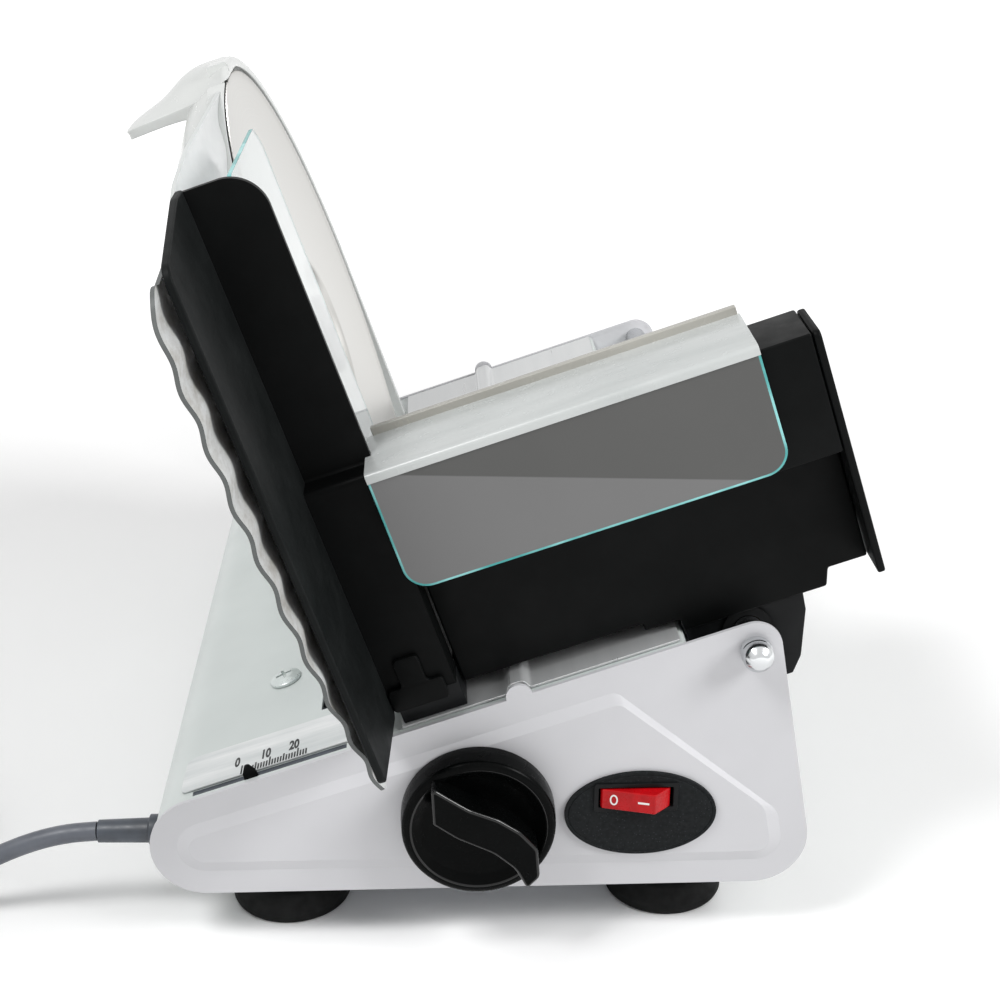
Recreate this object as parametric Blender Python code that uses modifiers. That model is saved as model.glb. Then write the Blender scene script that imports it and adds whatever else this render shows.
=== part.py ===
"""Electric meat slicer with a sloping steel base, a tilted round blade and a sliding food carriage.

Metres, +Z up. The origin is on the table, under the middle of the slicer.
The operator stands on the -Y side. The food lies on the right and slides down towards the blade.
Two frames carry the pieces: the level frame of the base, and the slope frame of its top,
whose X runs up the slope, whose Y runs along the carriage's travel and whose Z leaves the slope.
"""
import math

import bmesh
import bpy
from mathutils import Matrix, Vector

# Base
SLOPE = math.radians(19.0)
FOOT_HEIGHT = 0.020
NOSE_X = -0.0925
NOSE_RADIUS = 0.0185
NOSE_TO_TAB = 0.1167
RIGHT_X = 0.1138
RIGHT_LEAN = math.radians(10.7)
TOP_CORNER_RADIUS = 0.009
BOTTOM_CORNER_RADIUS = 0.018
PANEL_THICKNESS = 0.0020
RIM_DEPTH = 0.0045
SHEET = 0.0015

# Blade and slicing thickness
BLADE_RADIUS = 0.110
BLADE_PLANE = -0.0424
BLADE_Y = 0.190
BLADE_RISE = 0.082
BACK_MARGIN = 0.0287
BASE_DEPTH = BLADE_Y + BLADE_RADIUS + BACK_MARGIN
HOUSING_INSET = 0.0020
HOUSING_RADIUS = BLADE_RADIUS - HOUSING_INSET
SCALE_SPAN = 0.020
THICKNESS_AT_REST = 0.002

# Food carriage
CARRIAGE_TRAVEL = 0.185
TABLE_UNDERSIDE = 0.012
TABLE_THICKNESS = 0.003
TABLE_LENGTH = 0.165
TABLE_RIGHT = 0.1205
GUARD_RIGHT = -0.0173
WALL_TOP = 0.088
WALL_DEPTH = 0.025
BLACK_WALL = 0.0025
PUSHER_TRAVEL = 0.100

# Cord
CORD_RADIUS = 0.0033

# Fits
GAP = 0.0003
RUNNING_GAP = 0.0005
OVERRUN = 0.004
WELD = 0.00001

# Counts
ARC_STEPS = 6
TURN_STEPS = 24
FINE_TURN_STEPS = 48

QUARTER = math.pi / 2
FRONT = (QUARTER, 0, 0)
SIDE = (QUARTER, 0, QUARTER)
FLAT = (0, 0, 0)
ALONG_X = (0, QUARTER, 0)
ALONG_Y = (-QUARTER, 0, 0)
TOWARDS_USER = (QUARTER, 0, 0)


def clear_scene():
    for item in list(bpy.data.objects):
        bpy.data.objects.remove(item, do_unlink=True)
    for group in list(bpy.data.collections):
        bpy.data.collections.remove(group)


def collection(name):
    group = bpy.data.collections.new(name)
    bpy.context.scene.collection.children.link(group)
    return group


def material(name, colour, roughness, metallic=0.0, transmission=0.0):
    finish = bpy.data.materials.new(name)
    finish.use_nodes = True
    shader = finish.node_tree.nodes["Principled BSDF"]
    shader.inputs["Base Color"].default_value = (*colour, 1)
    shader.inputs["Roughness"].default_value = roughness
    shader.inputs["Metallic"].default_value = metallic
    shader.inputs["Transmission Weight"].default_value = transmission
    return finish


clear_scene()
PARTS = collection("meat_slicer")
CUTTERS = collection("meat_slicer_cutters")

WHITE_STEEL = material("white_painted_steel", (0.60, 0.60, 0.62), 0.35)
WHITE_PLASTIC = material("white_moulded_plastic", (0.70, 0.71, 0.69), 0.30)
PALE_LABEL = material("pale_scale_label", (0.80, 0.80, 0.80), 0.50)
BLACK_PLASTIC = material("black_moulded_plastic", (0.012, 0.013, 0.013), 0.40)
BLACK_RUBBER = material("black_rubber", (0.008, 0.008, 0.008), 0.75)
DARK_PLASTIC = material("dark_grey_plastic", (0.045, 0.045, 0.05), 0.50)
RED_PLASTIC = material("red_rocker_plastic", (0.55, 0.01, 0.012), 0.30)
CLEAR_ACRYLIC = material("clear_acrylic", (0.80, 0.90, 0.91), 0.05, transmission=0.9)
POLISHED_STEEL = material("polished_stainless_steel", (0.62, 0.62, 0.60), 0.12, metallic=1.0)
ALUMINIUM = material("ribbed_aluminium", (0.58, 0.58, 0.56), 0.30, metallic=1.0)
ZINC_STEEL = material("zinc_plated_steel", (0.50, 0.50, 0.50), 0.35, metallic=1.0)
BRONZE = material("sintered_bronze", (0.35, 0.20, 0.09), 0.45, metallic=1.0)
GEAR_NYLON = material("gear_nylon", (0.75, 0.72, 0.62), 0.45)
GREY_CORD = material("grey_cord", (0.13, 0.135, 0.14), 0.55)


# Frames

def nose_centre():
    return Vector((NOSE_X, 0, FOOT_HEIGHT + NOSE_RADIUS))


def slope_axes():
    up_slope = Vector((math.cos(SLOPE), 0, math.sin(SLOPE)))
    off_slope = Vector((-math.sin(SLOPE), 0, math.cos(SLOPE)))
    return up_slope, off_slope


def slope_origin():
    up_slope, off_slope = slope_axes()
    return nose_centre() + off_slope * NOSE_RADIUS + up_slope * NOSE_TO_TAB


def level(a, n):
    """A point of the slope frame, as (x, z) in the base's level frame."""
    up_slope, off_slope = slope_axes()
    place = slope_origin() + up_slope * a + off_slope * n
    return place.x, place.z


def sloped(x, z):
    """A point of the base's level frame, as (a, n) in the slope frame."""
    up_slope, off_slope = slope_axes()
    away = Vector((x, 0, z)) - slope_origin()
    return away.dot(up_slope), away.dot(off_slope)


# Reach of the whole slicer, which centres it on the origin
LUG_TIP = -0.0895
LUG_TIP_FALL = 0.0055
LUG_TIP_RISE = BLADE_RISE + HOUSING_RADIUS - LUG_TIP_FALL
FENCE_NEAR = -0.058
WING_PLATE = 0.0025
SLIDE_BOSS = 0.0095

REACH_LEFT = level(LUG_TIP, LUG_TIP_RISE)[0]
REACH_RIGHT = level(TABLE_RIGHT + GAP + WING_PLATE, GAP)[0]
REACH_NEAR = FENCE_NEAR
REACH_FAR = BASE_DEPTH + SLIDE_BOSS


def empty(name, place, parent=None, turn=FLAT):
    frame = bpy.data.objects.new(name, None)
    PARTS.objects.link(frame)
    frame.parent = parent
    frame.location = place
    frame.rotation_euler = turn
    return frame


BASE_FRAME = empty("base_frame", (-(REACH_LEFT + REACH_RIGHT) / 2, -(REACH_NEAR + REACH_FAR) / 2, 0))
SLOPE_FRAME = empty("slope_frame", slope_origin(), BASE_FRAME, (0, -SLOPE, 0))
FENCE_FRAME = empty("fence_slide", (0, 0, 0), SLOPE_FRAME)
POINTER_FRAME = empty("pointer_slide", (0, 0, 0), SLOPE_FRAME)
BLADE_FRAME = empty("blade_axis", (BLADE_PLANE, BLADE_Y, BLADE_RISE), SLOPE_FRAME)
CARRIAGE_FRAME = empty("carriage_slide", (0, 0, 0), SLOPE_FRAME)
PUSHER_FRAME = empty("pusher_slide", (0, 0, 0), CARRIAGE_FRAME)


# Making and joining solids

def add(name, mesh, place, finish, frame, turn=FLAT, group=None):
    piece = bpy.data.objects.new(name, mesh)
    (group or PARTS).objects.link(piece)
    piece.parent = frame
    piece.location = place
    piece.rotation_euler = turn
    if finish:
        mesh.materials.append(finish)
    return piece


def as_cutter(piece):
    for group in list(piece.users_collection):
        group.objects.unlink(piece)
    CUTTERS.objects.link(piece)
    piece.hide_render = True
    piece.display_type = "WIRE"


def combine(piece, other, operation):
    boolean = piece.modifiers.new(operation.lower(), "BOOLEAN")
    boolean.operation = operation
    boolean.solver = "EXACT"
    boolean.object = other
    as_cutter(other)


def cut(piece, *others):
    for other in others:
        combine(piece, other, "DIFFERENCE")
    return piece


def join(piece, *others):
    for other in others:
        combine(piece, other, "UNION")
    return piece


def box(name, low, high, finish, frame, round_edge=0.0):
    low, high = Vector(low), Vector(high)
    mesh = bpy.data.meshes.new(name)
    shape = bmesh.new()
    bmesh.ops.create_cube(shape, size=1)
    bmesh.ops.scale(shape, vec=high - low, verts=shape.verts)
    shape.to_mesh(mesh)
    shape.free()
    piece = add(name, mesh, (low + high) / 2, finish, frame)
    if round_edge:
        bevel = piece.modifiers.new("round_edge", "BEVEL")
        bevel.width = round_edge
        bevel.segments = 2
    return piece


def rod(name, radius, start, end, finish, frame, turn=ALONG_Y, steps=TURN_STEPS):
    """A round bar between two points on one of the frame's axes."""
    start, end = Vector(start), Vector(end)
    mesh = bpy.data.meshes.new(name)
    shape = bmesh.new()
    bmesh.ops.create_cone(shape, cap_ends=True, segments=steps, radius1=radius, radius2=radius,
                          depth=(end - start).length)
    shape.to_mesh(mesh)
    shape.free()
    mesh.shade_smooth()
    mesh.set_sharp_from_angle(angle=math.radians(40))
    return add(name, mesh, (start + end) / 2, finish, frame, turn)


def turned(name, profile, place, finish, frame, turn=FLAT, steps=TURN_STEPS, ring=False):
    """A profile of (radius, height) pairs turned about the local Z axis; a ring's profile closes on itself."""
    mesh = bpy.data.meshes.new(name)
    shape = bmesh.new()
    points = [shape.verts.new((radius, 0, height)) for radius, height in profile]
    for first, second in zip(points, points[1:]):
        shape.edges.new((first, second))
    if ring:
        shape.edges.new((points[-1], points[0]))
    shape.to_mesh(mesh)
    shape.free()
    piece = add(name, mesh, place, finish, frame, turn)
    area = sum(p[0] * q[1] - q[0] * p[1] for p, q in zip(profile, profile[1:] + profile[:1]))
    screw = piece.modifiers.new("turn", "SCREW")
    screw.axis = "Z"
    screw.steps = screw.render_steps = steps
    screw.use_merge_vertices = True
    screw.merge_threshold = WELD
    screw.use_normal_flip = area > 0
    screw.use_smooth_shade = False
    return piece


def rounded(corners, closed=True, steps=ARC_STEPS):
    """An outline from (x, y, radius) corners, with each radius worked in as an arc."""
    points = []
    count = len(corners)
    for index, (x, y, radius) in enumerate(corners):
        here = Vector((x, y))
        end = not closed and index in (0, count - 1)
        if end or not radius:
            points.append(here)
            continue
        before = (Vector(corners[index - 1][:2]) - here).normalized()
        after = (Vector(corners[(index + 1) % count][:2]) - here).normalized()
        half = before.angle(after) / 2
        middle = here + (before + after).normalized() * (radius / math.sin(half))
        reach = radius / math.tan(half)
        start = here + before * reach - middle
        sweep = start.angle_signed(here + after * reach - middle)
        for step in range(steps + 1):
            turn = Matrix.Rotation(-sweep * step / steps, 2)
            points.append(middle + turn @ start)
    return points


def inset(corners, distance):
    """The same closed outline, given clockwise or not, moved inwards by one distance."""
    count = len(corners)
    area = sum(corners[i - 1][0] * corners[i][1] - corners[i][0] * corners[i - 1][1] for i in range(count))
    side = math.copysign(1, area)
    moved = []
    for index in range(count):
        here = Vector(corners[index][:2])
        to_here = (here - Vector(corners[index - 1][:2])).normalized()
        onward = (Vector(corners[(index + 1) % count][:2]) - here).normalized()
        first = Vector((-to_here.y, to_here.x)) * side
        second = Vector((-onward.y, onward.x)) * side
        mitre = (first + second).normalized()
        place = here + mitre * (distance / mitre.dot(first))
        moved.append((place.x, place.y, max(corners[index][2] - distance, 0)))
    return moved


def folded(path, thickness):
    """The closed outline of a sheet whose outer face follows the path, with its metal on the right of it."""
    inner = []
    count = len(path)
    for index, here in enumerate(path):
        to_here = (here - path[index - 1]).normalized() if index else None
        onward = (path[index + 1] - here).normalized() if index < count - 1 else None
        first = Vector((to_here.y, -to_here.x)) if to_here else None
        second = Vector((onward.y, -onward.x)) if onward else None
        mitre = ((first or second) + (second or first)).normalized()
        inner.append(here + mitre * (thickness / mitre.dot(first or second)))
    return list(path) + inner[::-1]


def plate(name, outlines, thickness, place, finish, frame, turn=FLAT, round_edge=0.0):
    """A flat outline, with any holes after it, given a thickness on both sides of its plane."""
    curve = bpy.data.curves.new(name, "CURVE")
    curve.dimensions = "2D"
    curve.fill_mode = "BOTH"
    curve.extrude = thickness / 2 - round_edge
    curve.bevel_depth = round_edge
    curve.bevel_resolution = 1
    curve.offset = -round_edge
    for outline in outlines:
        spline = curve.splines.new("POLY")
        spline.points.add(len(outline) - 1)
        for point, corner in zip(spline.points, outline):
            point.co = (corner[0], corner[1], 0, 1)
        spline.use_cyclic_u = True
    guide = bpy.data.objects.new(name + "_outline", curve)
    CUTTERS.objects.link(guide)
    mesh = solid_mesh(guide, name)
    bpy.data.objects.remove(guide, do_unlink=True)
    return add(name, mesh, place, finish, frame, turn)


def solid_mesh(guide, name):
    """The evaluated curve as a mesh of its own, with its loose caps welded on."""
    bpy.context.view_layer.update()
    evaluated = guide.evaluated_get(bpy.context.evaluated_depsgraph_get())
    mesh = bpy.data.meshes.new_from_object(evaluated)
    mesh.name = name
    shape = bmesh.new()
    shape.from_mesh(mesh)
    bmesh.ops.remove_doubles(shape, verts=shape.verts, dist=WELD)
    bmesh.ops.recalc_face_normals(shape, faces=shape.faces)
    shape.to_mesh(mesh)
    shape.free()
    return mesh


def circle(centre, radius, steps=TURN_STEPS):
    angles = [2 * math.pi * step / steps for step in range(steps)]
    return [Vector((centre[0] + radius * math.cos(t), centre[1] + radius * math.sin(t))) for t in angles]


def arc(centre, radius, start, end, steps):
    """Points on an arc between two angles in degrees, both ends included."""
    angles = [math.radians(start + (end - start) * step / steps) for step in range(steps + 1)]
    return [Vector((centre[0] + radius * math.cos(t), centre[1] + radius * math.sin(t))) for t in angles]


def rectangle(low, high, radius=0.0):
    return rounded([(low[0], low[1], radius), (high[0], low[1], radius),
                    (high[0], high[1], radius), (low[0], high[1], radius)])


# End panels of the base

TAB_RADIUS = 0.0043
PRESSED_BORDER = 0.0090
PRESSED_DEPTH = 0.0008
PRESSED_APEX = 0.030
PRESSED_SHOULDER = 0.0486
KNOB_X = -0.0016
KNOB_Z = 0.0511
BUSH_RADIUS = 0.0060
SWITCH_X = 0.0507
SWITCH_Z = 0.0534
SWITCH_HALF = (0.0135, 0.0080)
STUD_RADIUS = 0.0030


def panel_corners():
    """The three corners of both end panels: the nose, the top right and the bottom right."""
    origin = slope_origin()
    rise = math.tan(SLOPE)
    lean = math.tan(RIGHT_LEAN)
    height = origin.z - FOOT_HEIGHT
    top_x = (RIGHT_X - (height - origin.x * rise) * lean) / (1 + rise * lean)
    return [(origin.x - height / rise, FOOT_HEIGHT, NOSE_RADIUS),
            (RIGHT_X, FOOT_HEIGHT, BOTTOM_CORNER_RADIUS),
            (top_x, origin.z + (top_x - origin.x) * rise, TOP_CORNER_RADIUS)]


def rod_place():
    """Where the slide rod's axis meets the end panels, which is the centre of their top right corner."""
    corners = [Vector(corner[:2]) for corner in panel_corners()]
    to_nose = (corners[0] - corners[2]).normalized()
    to_foot = (corners[1] - corners[2]).normalized()
    half = to_nose.angle(to_foot) / 2
    return corners[2] + (to_nose + to_foot).normalized() * (TOP_CORNER_RADIUS / math.sin(half))


def pressed_outline():
    """The shallow pressed field of a panel, whose top edge turns down before the corner."""
    nose, right, _ = inset(panel_corners(), PRESSED_BORDER)
    apex = level(PRESSED_APEX, -PRESSED_BORDER)
    shoulder_x = right[0] - (PRESSED_SHOULDER - right[1]) * math.tan(RIGHT_LEAN)
    return rounded([nose, right, (shoulder_x, PRESSED_SHOULDER, PRESSED_BORDER), (*apex, TAB_RADIUS)])


def end_panel(name, outer_y, inward):
    """A pan of sheet steel: a face with a tab on its top edge and a rim that points into the base."""
    outline = rounded(panel_corners())
    inner = rounded(inset(panel_corners(), PANEL_THICKNESS))
    depth = RIM_DEPTH
    face = plate(name, [outline], depth, (0, outer_y + inward * depth / 2, 0), WHITE_STEEL, BASE_FRAME, FRONT)
    pocket = plate(name + "_pocket", [inner], depth, (0, outer_y + inward * (PANEL_THICKNESS + depth / 2), 0),
                   None, BASE_FRAME, FRONT)
    cut(face, pocket)
    tab_x, tab_z = level(0, 0)
    join(face, rod(name + "_tab", TAB_RADIUS, (tab_x, outer_y, tab_z),
                   (tab_x, outer_y + inward * PANEL_THICKNESS, tab_z), None, BASE_FRAME))
    field = plate(name + "_field", [pressed_outline()], PRESSED_DEPTH * 2, (0, outer_y, 0), None,
                  BASE_FRAME, FRONT)
    cut(face, field)
    place = rod_place()
    cut(face, rod(name + "_stud_hole", STUD_RADIUS + GAP, (place.x, outer_y - OVERRUN, place.y),
                  (place.x, outer_y + OVERRUN, place.y), None, BASE_FRAME))
    return face


BRACKET_BOSS_RADIUS = 0.0035
BRACKET_BOSS_SPREAD = 0.0175
BRACKET_BOSS_DROP = 0.0175
BRACKET_Y = 0.0190
BRACKET_SCREW = 0.0080
SCREW_SHANK = 0.0020


def knob_slope_place():
    return sloped(KNOB_X, KNOB_Z)


def bracket_boss_places():
    a, n = knob_slope_place()
    return [(a - BRACKET_BOSS_SPREAD, n - BRACKET_BOSS_DROP), (a + BRACKET_BOSS_SPREAD, n - BRACKET_BOSS_DROP)]


def front_panel():
    face = end_panel("front_panel", 0, 1)
    for number, (a, n) in enumerate(bracket_boss_places(), 1):
        x, z = level(a, n)
        join(face, rod(f"bracket_boss_{number}", BRACKET_BOSS_RADIUS, (x, PANEL_THICKNESS / 2 + PRESSED_DEPTH, z),
                       (x, BRACKET_Y - GAP, z), None, BASE_FRAME, steps=ARC_STEPS * 2))
        cut(face, rod(f"bracket_thread_{number}", SCREW_SHANK + GAP, (x, BRACKET_Y - BRACKET_SCREW, z),
                      (x, BRACKET_Y + OVERRUN, z), None, BASE_FRAME, steps=ARC_STEPS * 2))
    half_x, half_z = SWITCH_HALF
    cut(face, rod("bush_hole", BUSH_RADIUS + GAP, (KNOB_X, -OVERRUN, KNOB_Z), (KNOB_X, OVERRUN, KNOB_Z),
                  None, BASE_FRAME))
    cut(face, box("switch_hole", (SWITCH_X - half_x - GAP, -OVERRUN, SWITCH_Z - half_z - GAP),
                  (SWITCH_X + half_x + GAP, OVERRUN, SWITCH_Z + half_z + GAP), None, BASE_FRAME))


def back_panel():
    end_panel("back_panel", BASE_DEPTH, -1)


# Cover, track and bottom of the base

COVER_INSET = 0.0008
CHANNEL_A = 0.0565
CHANNEL_DEPTH = 0.024
FLANGE_WIDTH = 0.0125
BLADE_SLOT_SIDE = 0.0016
BLADE_SLOT_BACK = 0.0041
BLADE_SLOT_END = 0.076
POINTER_SLOT = (-0.113, -0.065)
POINTER_SLOT_WIDTH = 0.0017
TONGUE_WIDTH = 0.008
TONGUES_Y = (0.040, 0.060)
TONGUE_SLOT = (-0.0705, -0.0463)
SCREW_A = -0.0859
SCREW_Y = 0.066
TRACK_THICKNESS = 0.0008
TRACK_LEFT = -0.0402
BEAD_RADIUS = 0.0030
MAINS_HEIGHT = 0.033
MAINS_Y = 0.020
GLAND_RADIUS = 0.0055


def cover_path():
    """The folded cover, seen from the front: nose, top, rod channel and right side, with a flange at each end."""
    nose, right, _ = inset(panel_corners(), COVER_INSET)
    edge = level(CHANNEL_A, -COVER_INSET)
    foot = level(CHANNEL_A, -CHANNEL_DEPTH)
    lean = math.tan(RIGHT_LEAN)
    rise = math.tan(SLOPE)
    wall_x = (right[0] - (foot[1] - right[1] - foot[0] * rise) * lean) / (1 + rise * lean)
    wall_z = foot[1] + (wall_x - foot[0]) * rise
    bend = SHEET * 2
    corners = [(NOSE_X + FLANGE_WIDTH, nose[1], 0), nose, (*edge, bend), (*foot, 0), (wall_x, wall_z, bend),
               right, (right[0] - right[2] - FLANGE_WIDTH, right[1], 0)]
    return rounded(corners, closed=False)


def top_cover():
    outline = folded(cover_path(), SHEET)
    start = RIM_DEPTH + GAP
    end = BASE_DEPTH - RIM_DEPTH - GAP
    cover = plate("top_cover", [outline], end - start, (0, (start + end) / 2, 0), WHITE_STEEL, BASE_FRAME, FRONT)
    top, under = OVERRUN, -OVERRUN
    cut(cover, box("blade_slot", (BLADE_PLANE - BLADE_SLOT_BACK, BLADE_Y - BLADE_SLOT_END, under),
                   (BLADE_PLANE + BLADE_SLOT_SIDE, BLADE_Y + BLADE_SLOT_END, top), None, SLOPE_FRAME))
    cut(cover, box("pointer_slot", (POINTER_SLOT[0], start - OVERRUN, under),
                   (POINTER_SLOT[1], start + POINTER_SLOT_WIDTH, top), None, SLOPE_FRAME))
    for number, y in enumerate(TONGUES_Y, 1):
        half = TONGUE_WIDTH / 2 + RUNNING_GAP
        cut(cover, box(f"tongue_slot_{number}", (TONGUE_SLOT[0], y - half, under),
                       (TONGUE_SLOT[1], y + half, top), None, SLOPE_FRAME))
    cut(cover, rod("cover_screw_hole", SCREW_SHANK + GAP, (SCREW_A, SCREW_Y, under), (SCREW_A, SCREW_Y, top),
                   None, SLOPE_FRAME, FLAT, steps=ARC_STEPS * 2))
    cut(cover, rod("gland_hole", GLAND_RADIUS - SHEET + GAP,
                   (NOSE_X - NOSE_RADIUS - OVERRUN, MAINS_Y, MAINS_HEIGHT), (NOSE_X, MAINS_Y, MAINS_HEIGHT),
                   None, BASE_FRAME, ALONG_X))


def track_plate():
    """The polished plate that the carriage runs over, with a raised bead down its middle."""
    start = RIM_DEPTH + GAP * 2
    end = BASE_DEPTH - start
    under = -COVER_INSET + GAP
    top = under + TRACK_THICKNESS
    right = CHANNEL_A - SHEET
    bead = arc((0, top), BEAD_RADIUS, 180, 0, ARC_STEPS)
    outline = [Vector((TRACK_LEFT, under)), Vector((TRACK_LEFT, top))] + bead + [Vector((right, top)),
                                                                             Vector((right, under))]
    return plate("track_plate", [outline], end - start, (0, (start + end) / 2, 0), POLISHED_STEEL,
                 SLOPE_FRAME, FRONT)


SCALE_PLATE_LEFT = -0.1165
SCALE_PLATE_RIGHT = -0.0505
SCALE_PLATE_FAR = 0.029
SCALE_PLATE_THICKNESS = 0.0006


def scale_plate():
    near = RIM_DEPTH + GAP + POINTER_SLOT_WIDTH + GAP
    corner = (SCALE_PLATE_FAR - near) / 4
    outline = rounded([(SCALE_PLATE_LEFT, near, corner), (SCALE_PLATE_RIGHT, near, 0),
                       (SCALE_PLATE_RIGHT, SCALE_PLATE_FAR, 0), (SCALE_PLATE_LEFT, SCALE_PLATE_FAR, corner)])
    under = -COVER_INSET + GAP
    plate("scale_plate", [outline], SCALE_PLATE_THICKNESS, (0, 0, under + SCALE_PLATE_THICKNESS / 2),
          PALE_LABEL, SLOPE_FRAME)


FOOT_RADIUS = 0.021
FOOT_X = (-0.067, 0.066)
FOOT_Y = 0.031
FOOT_NECK = 0.0105
FOOT_STEM = 0.0035
FOOT_HEAD = 0.0055
FOOT_HEAD_HEIGHT = 0.0030


def foot_places():
    return [(x, y) for x in FOOT_X for y in (FOOT_Y, BASE_DEPTH - FOOT_Y)]


def bottom_height():
    return FOOT_HEIGHT + COVER_INSET + SHEET + GAP


def bottom_plate():
    _, right, _ = inset(panel_corners(), COVER_INSET + SHEET + RUNNING_GAP)
    low = (NOSE_X + NOSE_RADIUS / 4, RIM_DEPTH + GAP)
    high = (right[0] - right[2] * 3 / 2, BASE_DEPTH - RIM_DEPTH - GAP)
    holes = [circle(place, FOOT_STEM + GAP, ARC_STEPS * 3) for place in foot_places()]
    plate("bottom_plate", [rectangle(low, high)] + holes, SHEET, (0, 0, bottom_height() + SHEET / 2),
          ZINC_STEEL, BASE_FRAME)


def feet():
    """Four suction feet, whose moulded heads snap through the bottom plate."""
    seat = bottom_height() - GAP
    head = bottom_height() + SHEET + GAP
    cup = FOOT_HEIGHT / 4
    for number, (x, y) in enumerate(foot_places(), 1):
        profile = [(0, head + FOOT_HEAD_HEIGHT), (FOOT_STEM, head + FOOT_HEAD_HEIGHT), (FOOT_HEAD, head),
                   (FOOT_STEM, head), (FOOT_STEM, seat), (FOOT_NECK, seat), (FOOT_NECK, FOOT_HEIGHT * 3 / 5),
                   (FOOT_RADIUS - SHEET, cup), (FOOT_RADIUS, SHEET), (FOOT_RADIUS, 0),
                   (FOOT_RADIUS - SHEET, 0), (FOOT_NECK, cup / 2), (0, cup)]
        turned(f"suction_foot_{number}", profile, (x, y, 0), BLACK_RUBBER, BASE_FRAME, steps=ARC_STEPS * 3)


# Slide rod with its nuts

ROD_RADIUS = 0.005
NUT_RADIUS = 0.0052
NUT_LENGTH = 0.0090
STUD_REACH = 0.0055


def slide_rod():
    place = rod_place()
    start = PANEL_THICKNESS + GAP
    end = BASE_DEPTH - start
    profile = [(0, BASE_DEPTH + STUD_REACH), (STUD_RADIUS, BASE_DEPTH + STUD_REACH), (STUD_RADIUS, end),
               (ROD_RADIUS, end), (ROD_RADIUS, start), (STUD_RADIUS, start), (STUD_RADIUS, -STUD_REACH),
               (0, -STUD_REACH)]
    turned("slide_rod", profile, (place.x, 0, place.y), POLISHED_STEEL, BASE_FRAME, ALONG_Y)


def dome_profile():
    """A dome nut with its blind bore, standing up from its seat at height zero."""
    dome = [(NUT_RADIUS * math.cos(t), NUT_LENGTH - NUT_RADIUS + NUT_RADIUS * math.sin(t))
            for t in [math.radians(angle) for angle in (90, 60, 30, 0)]]
    dome[0] = (0, NUT_LENGTH)
    bore = STUD_RADIUS + GAP
    return dome + [(NUT_RADIUS, GAP), (bore, GAP), (bore, STUD_REACH + GAP * 2), (0, STUD_REACH + GAP * 2)]


def rod_nuts():
    place = rod_place()
    turned("rod_nut_front", dome_profile(), (place.x, 0, place.y), POLISHED_STEEL, BASE_FRAME, TOWARDS_USER)
    turned("rod_nut_back", dome_profile(), (place.x, BASE_DEPTH, place.y), POLISHED_STEEL, BASE_FRAME, ALONG_Y)


# Thickness knob, its shaft and pinion

KNOB_RADIUS = 0.0243
KNOB_HEIGHT = 0.0180
KNOB_SKIRT = 0.0040
KNOB_FACE = 0.0085
GRIP_SHARES = ((-0.68, 0.44), (-0.30, 0.36), (0.02, 0.20), (0.44, 0.06), (0.76, -0.16), (0.86, -0.42),
               (0.86, -0.78), (0.74, -0.92), (0.58, -0.78), (0.42, -0.56), (0.10, -0.38), (-0.28, -0.20),
               (-0.54, 0.02), (-0.74, 0.20))
SHAFT_RADIUS = 0.0040
PINION_TEETH = 12
PINION_RADIUS = 0.0050
TOOTH_HEIGHT_SHARE = 0.30
TOOTH_TIP_SHARE = 0.34
TOOTH_ROOT_SHARE = 0.62
BACKLASH = 0.0003
POINTER_Y = (0.0050, 0.0062)
RACK_Y = (0.0120, 0.0170)


def tooth_height():
    """Height of a tooth above or below the pitch line, a share of the circular pitch."""
    return TOOTH_HEIGHT_SHARE * 2 * math.pi * PINION_RADIUS / PINION_TEETH


def gear_outline(teeth, pitch_radius, tooth, offset=0.0):
    """A gear with flat-sided teeth; one tooth points along the local +Y axis when the offset is zero."""
    points = []
    step = 2 * math.pi / teeth
    trim = BACKLASH / 2 / pitch_radius
    for number in range(teeth):
        middle = QUARTER + offset + number * step
        for radius, share in ((pitch_radius - tooth, -TOOTH_ROOT_SHARE), (pitch_radius + tooth, -TOOTH_TIP_SHARE),
                              (pitch_radius + tooth, TOOTH_TIP_SHARE), (pitch_radius - tooth, TOOTH_ROOT_SHARE)):
            angle = middle + step / 2 * share - math.copysign(trim, share)
            points.append(Vector((radius * math.cos(angle), radius * math.sin(angle))))
    return points


def rack_teeth(start, end, line, middle, up):
    """The toothed edge of a rack along its pitch line, with a space facing the pinion at the middle."""
    pitch = 2 * math.pi * PINION_RADIUS / PINION_TEETH
    tooth = tooth_height()
    points = []
    first = math.ceil((start - middle) / pitch)
    last = math.floor((end - middle) / pitch)
    for number in range(first, last):
        centre = middle + (number + 0.5) * pitch
        root = pitch / 2 * TOOTH_ROOT_SHARE - BACKLASH / 2
        tip = pitch / 2 * TOOTH_TIP_SHARE - BACKLASH / 2
        points += [Vector((centre - root, line - up * (tooth + GAP))), Vector((centre - tip, line + up * (tooth - GAP))),
                   Vector((centre + tip, line + up * (tooth - GAP))), Vector((centre + root, line - up * (tooth + GAP)))]
    return points


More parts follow.
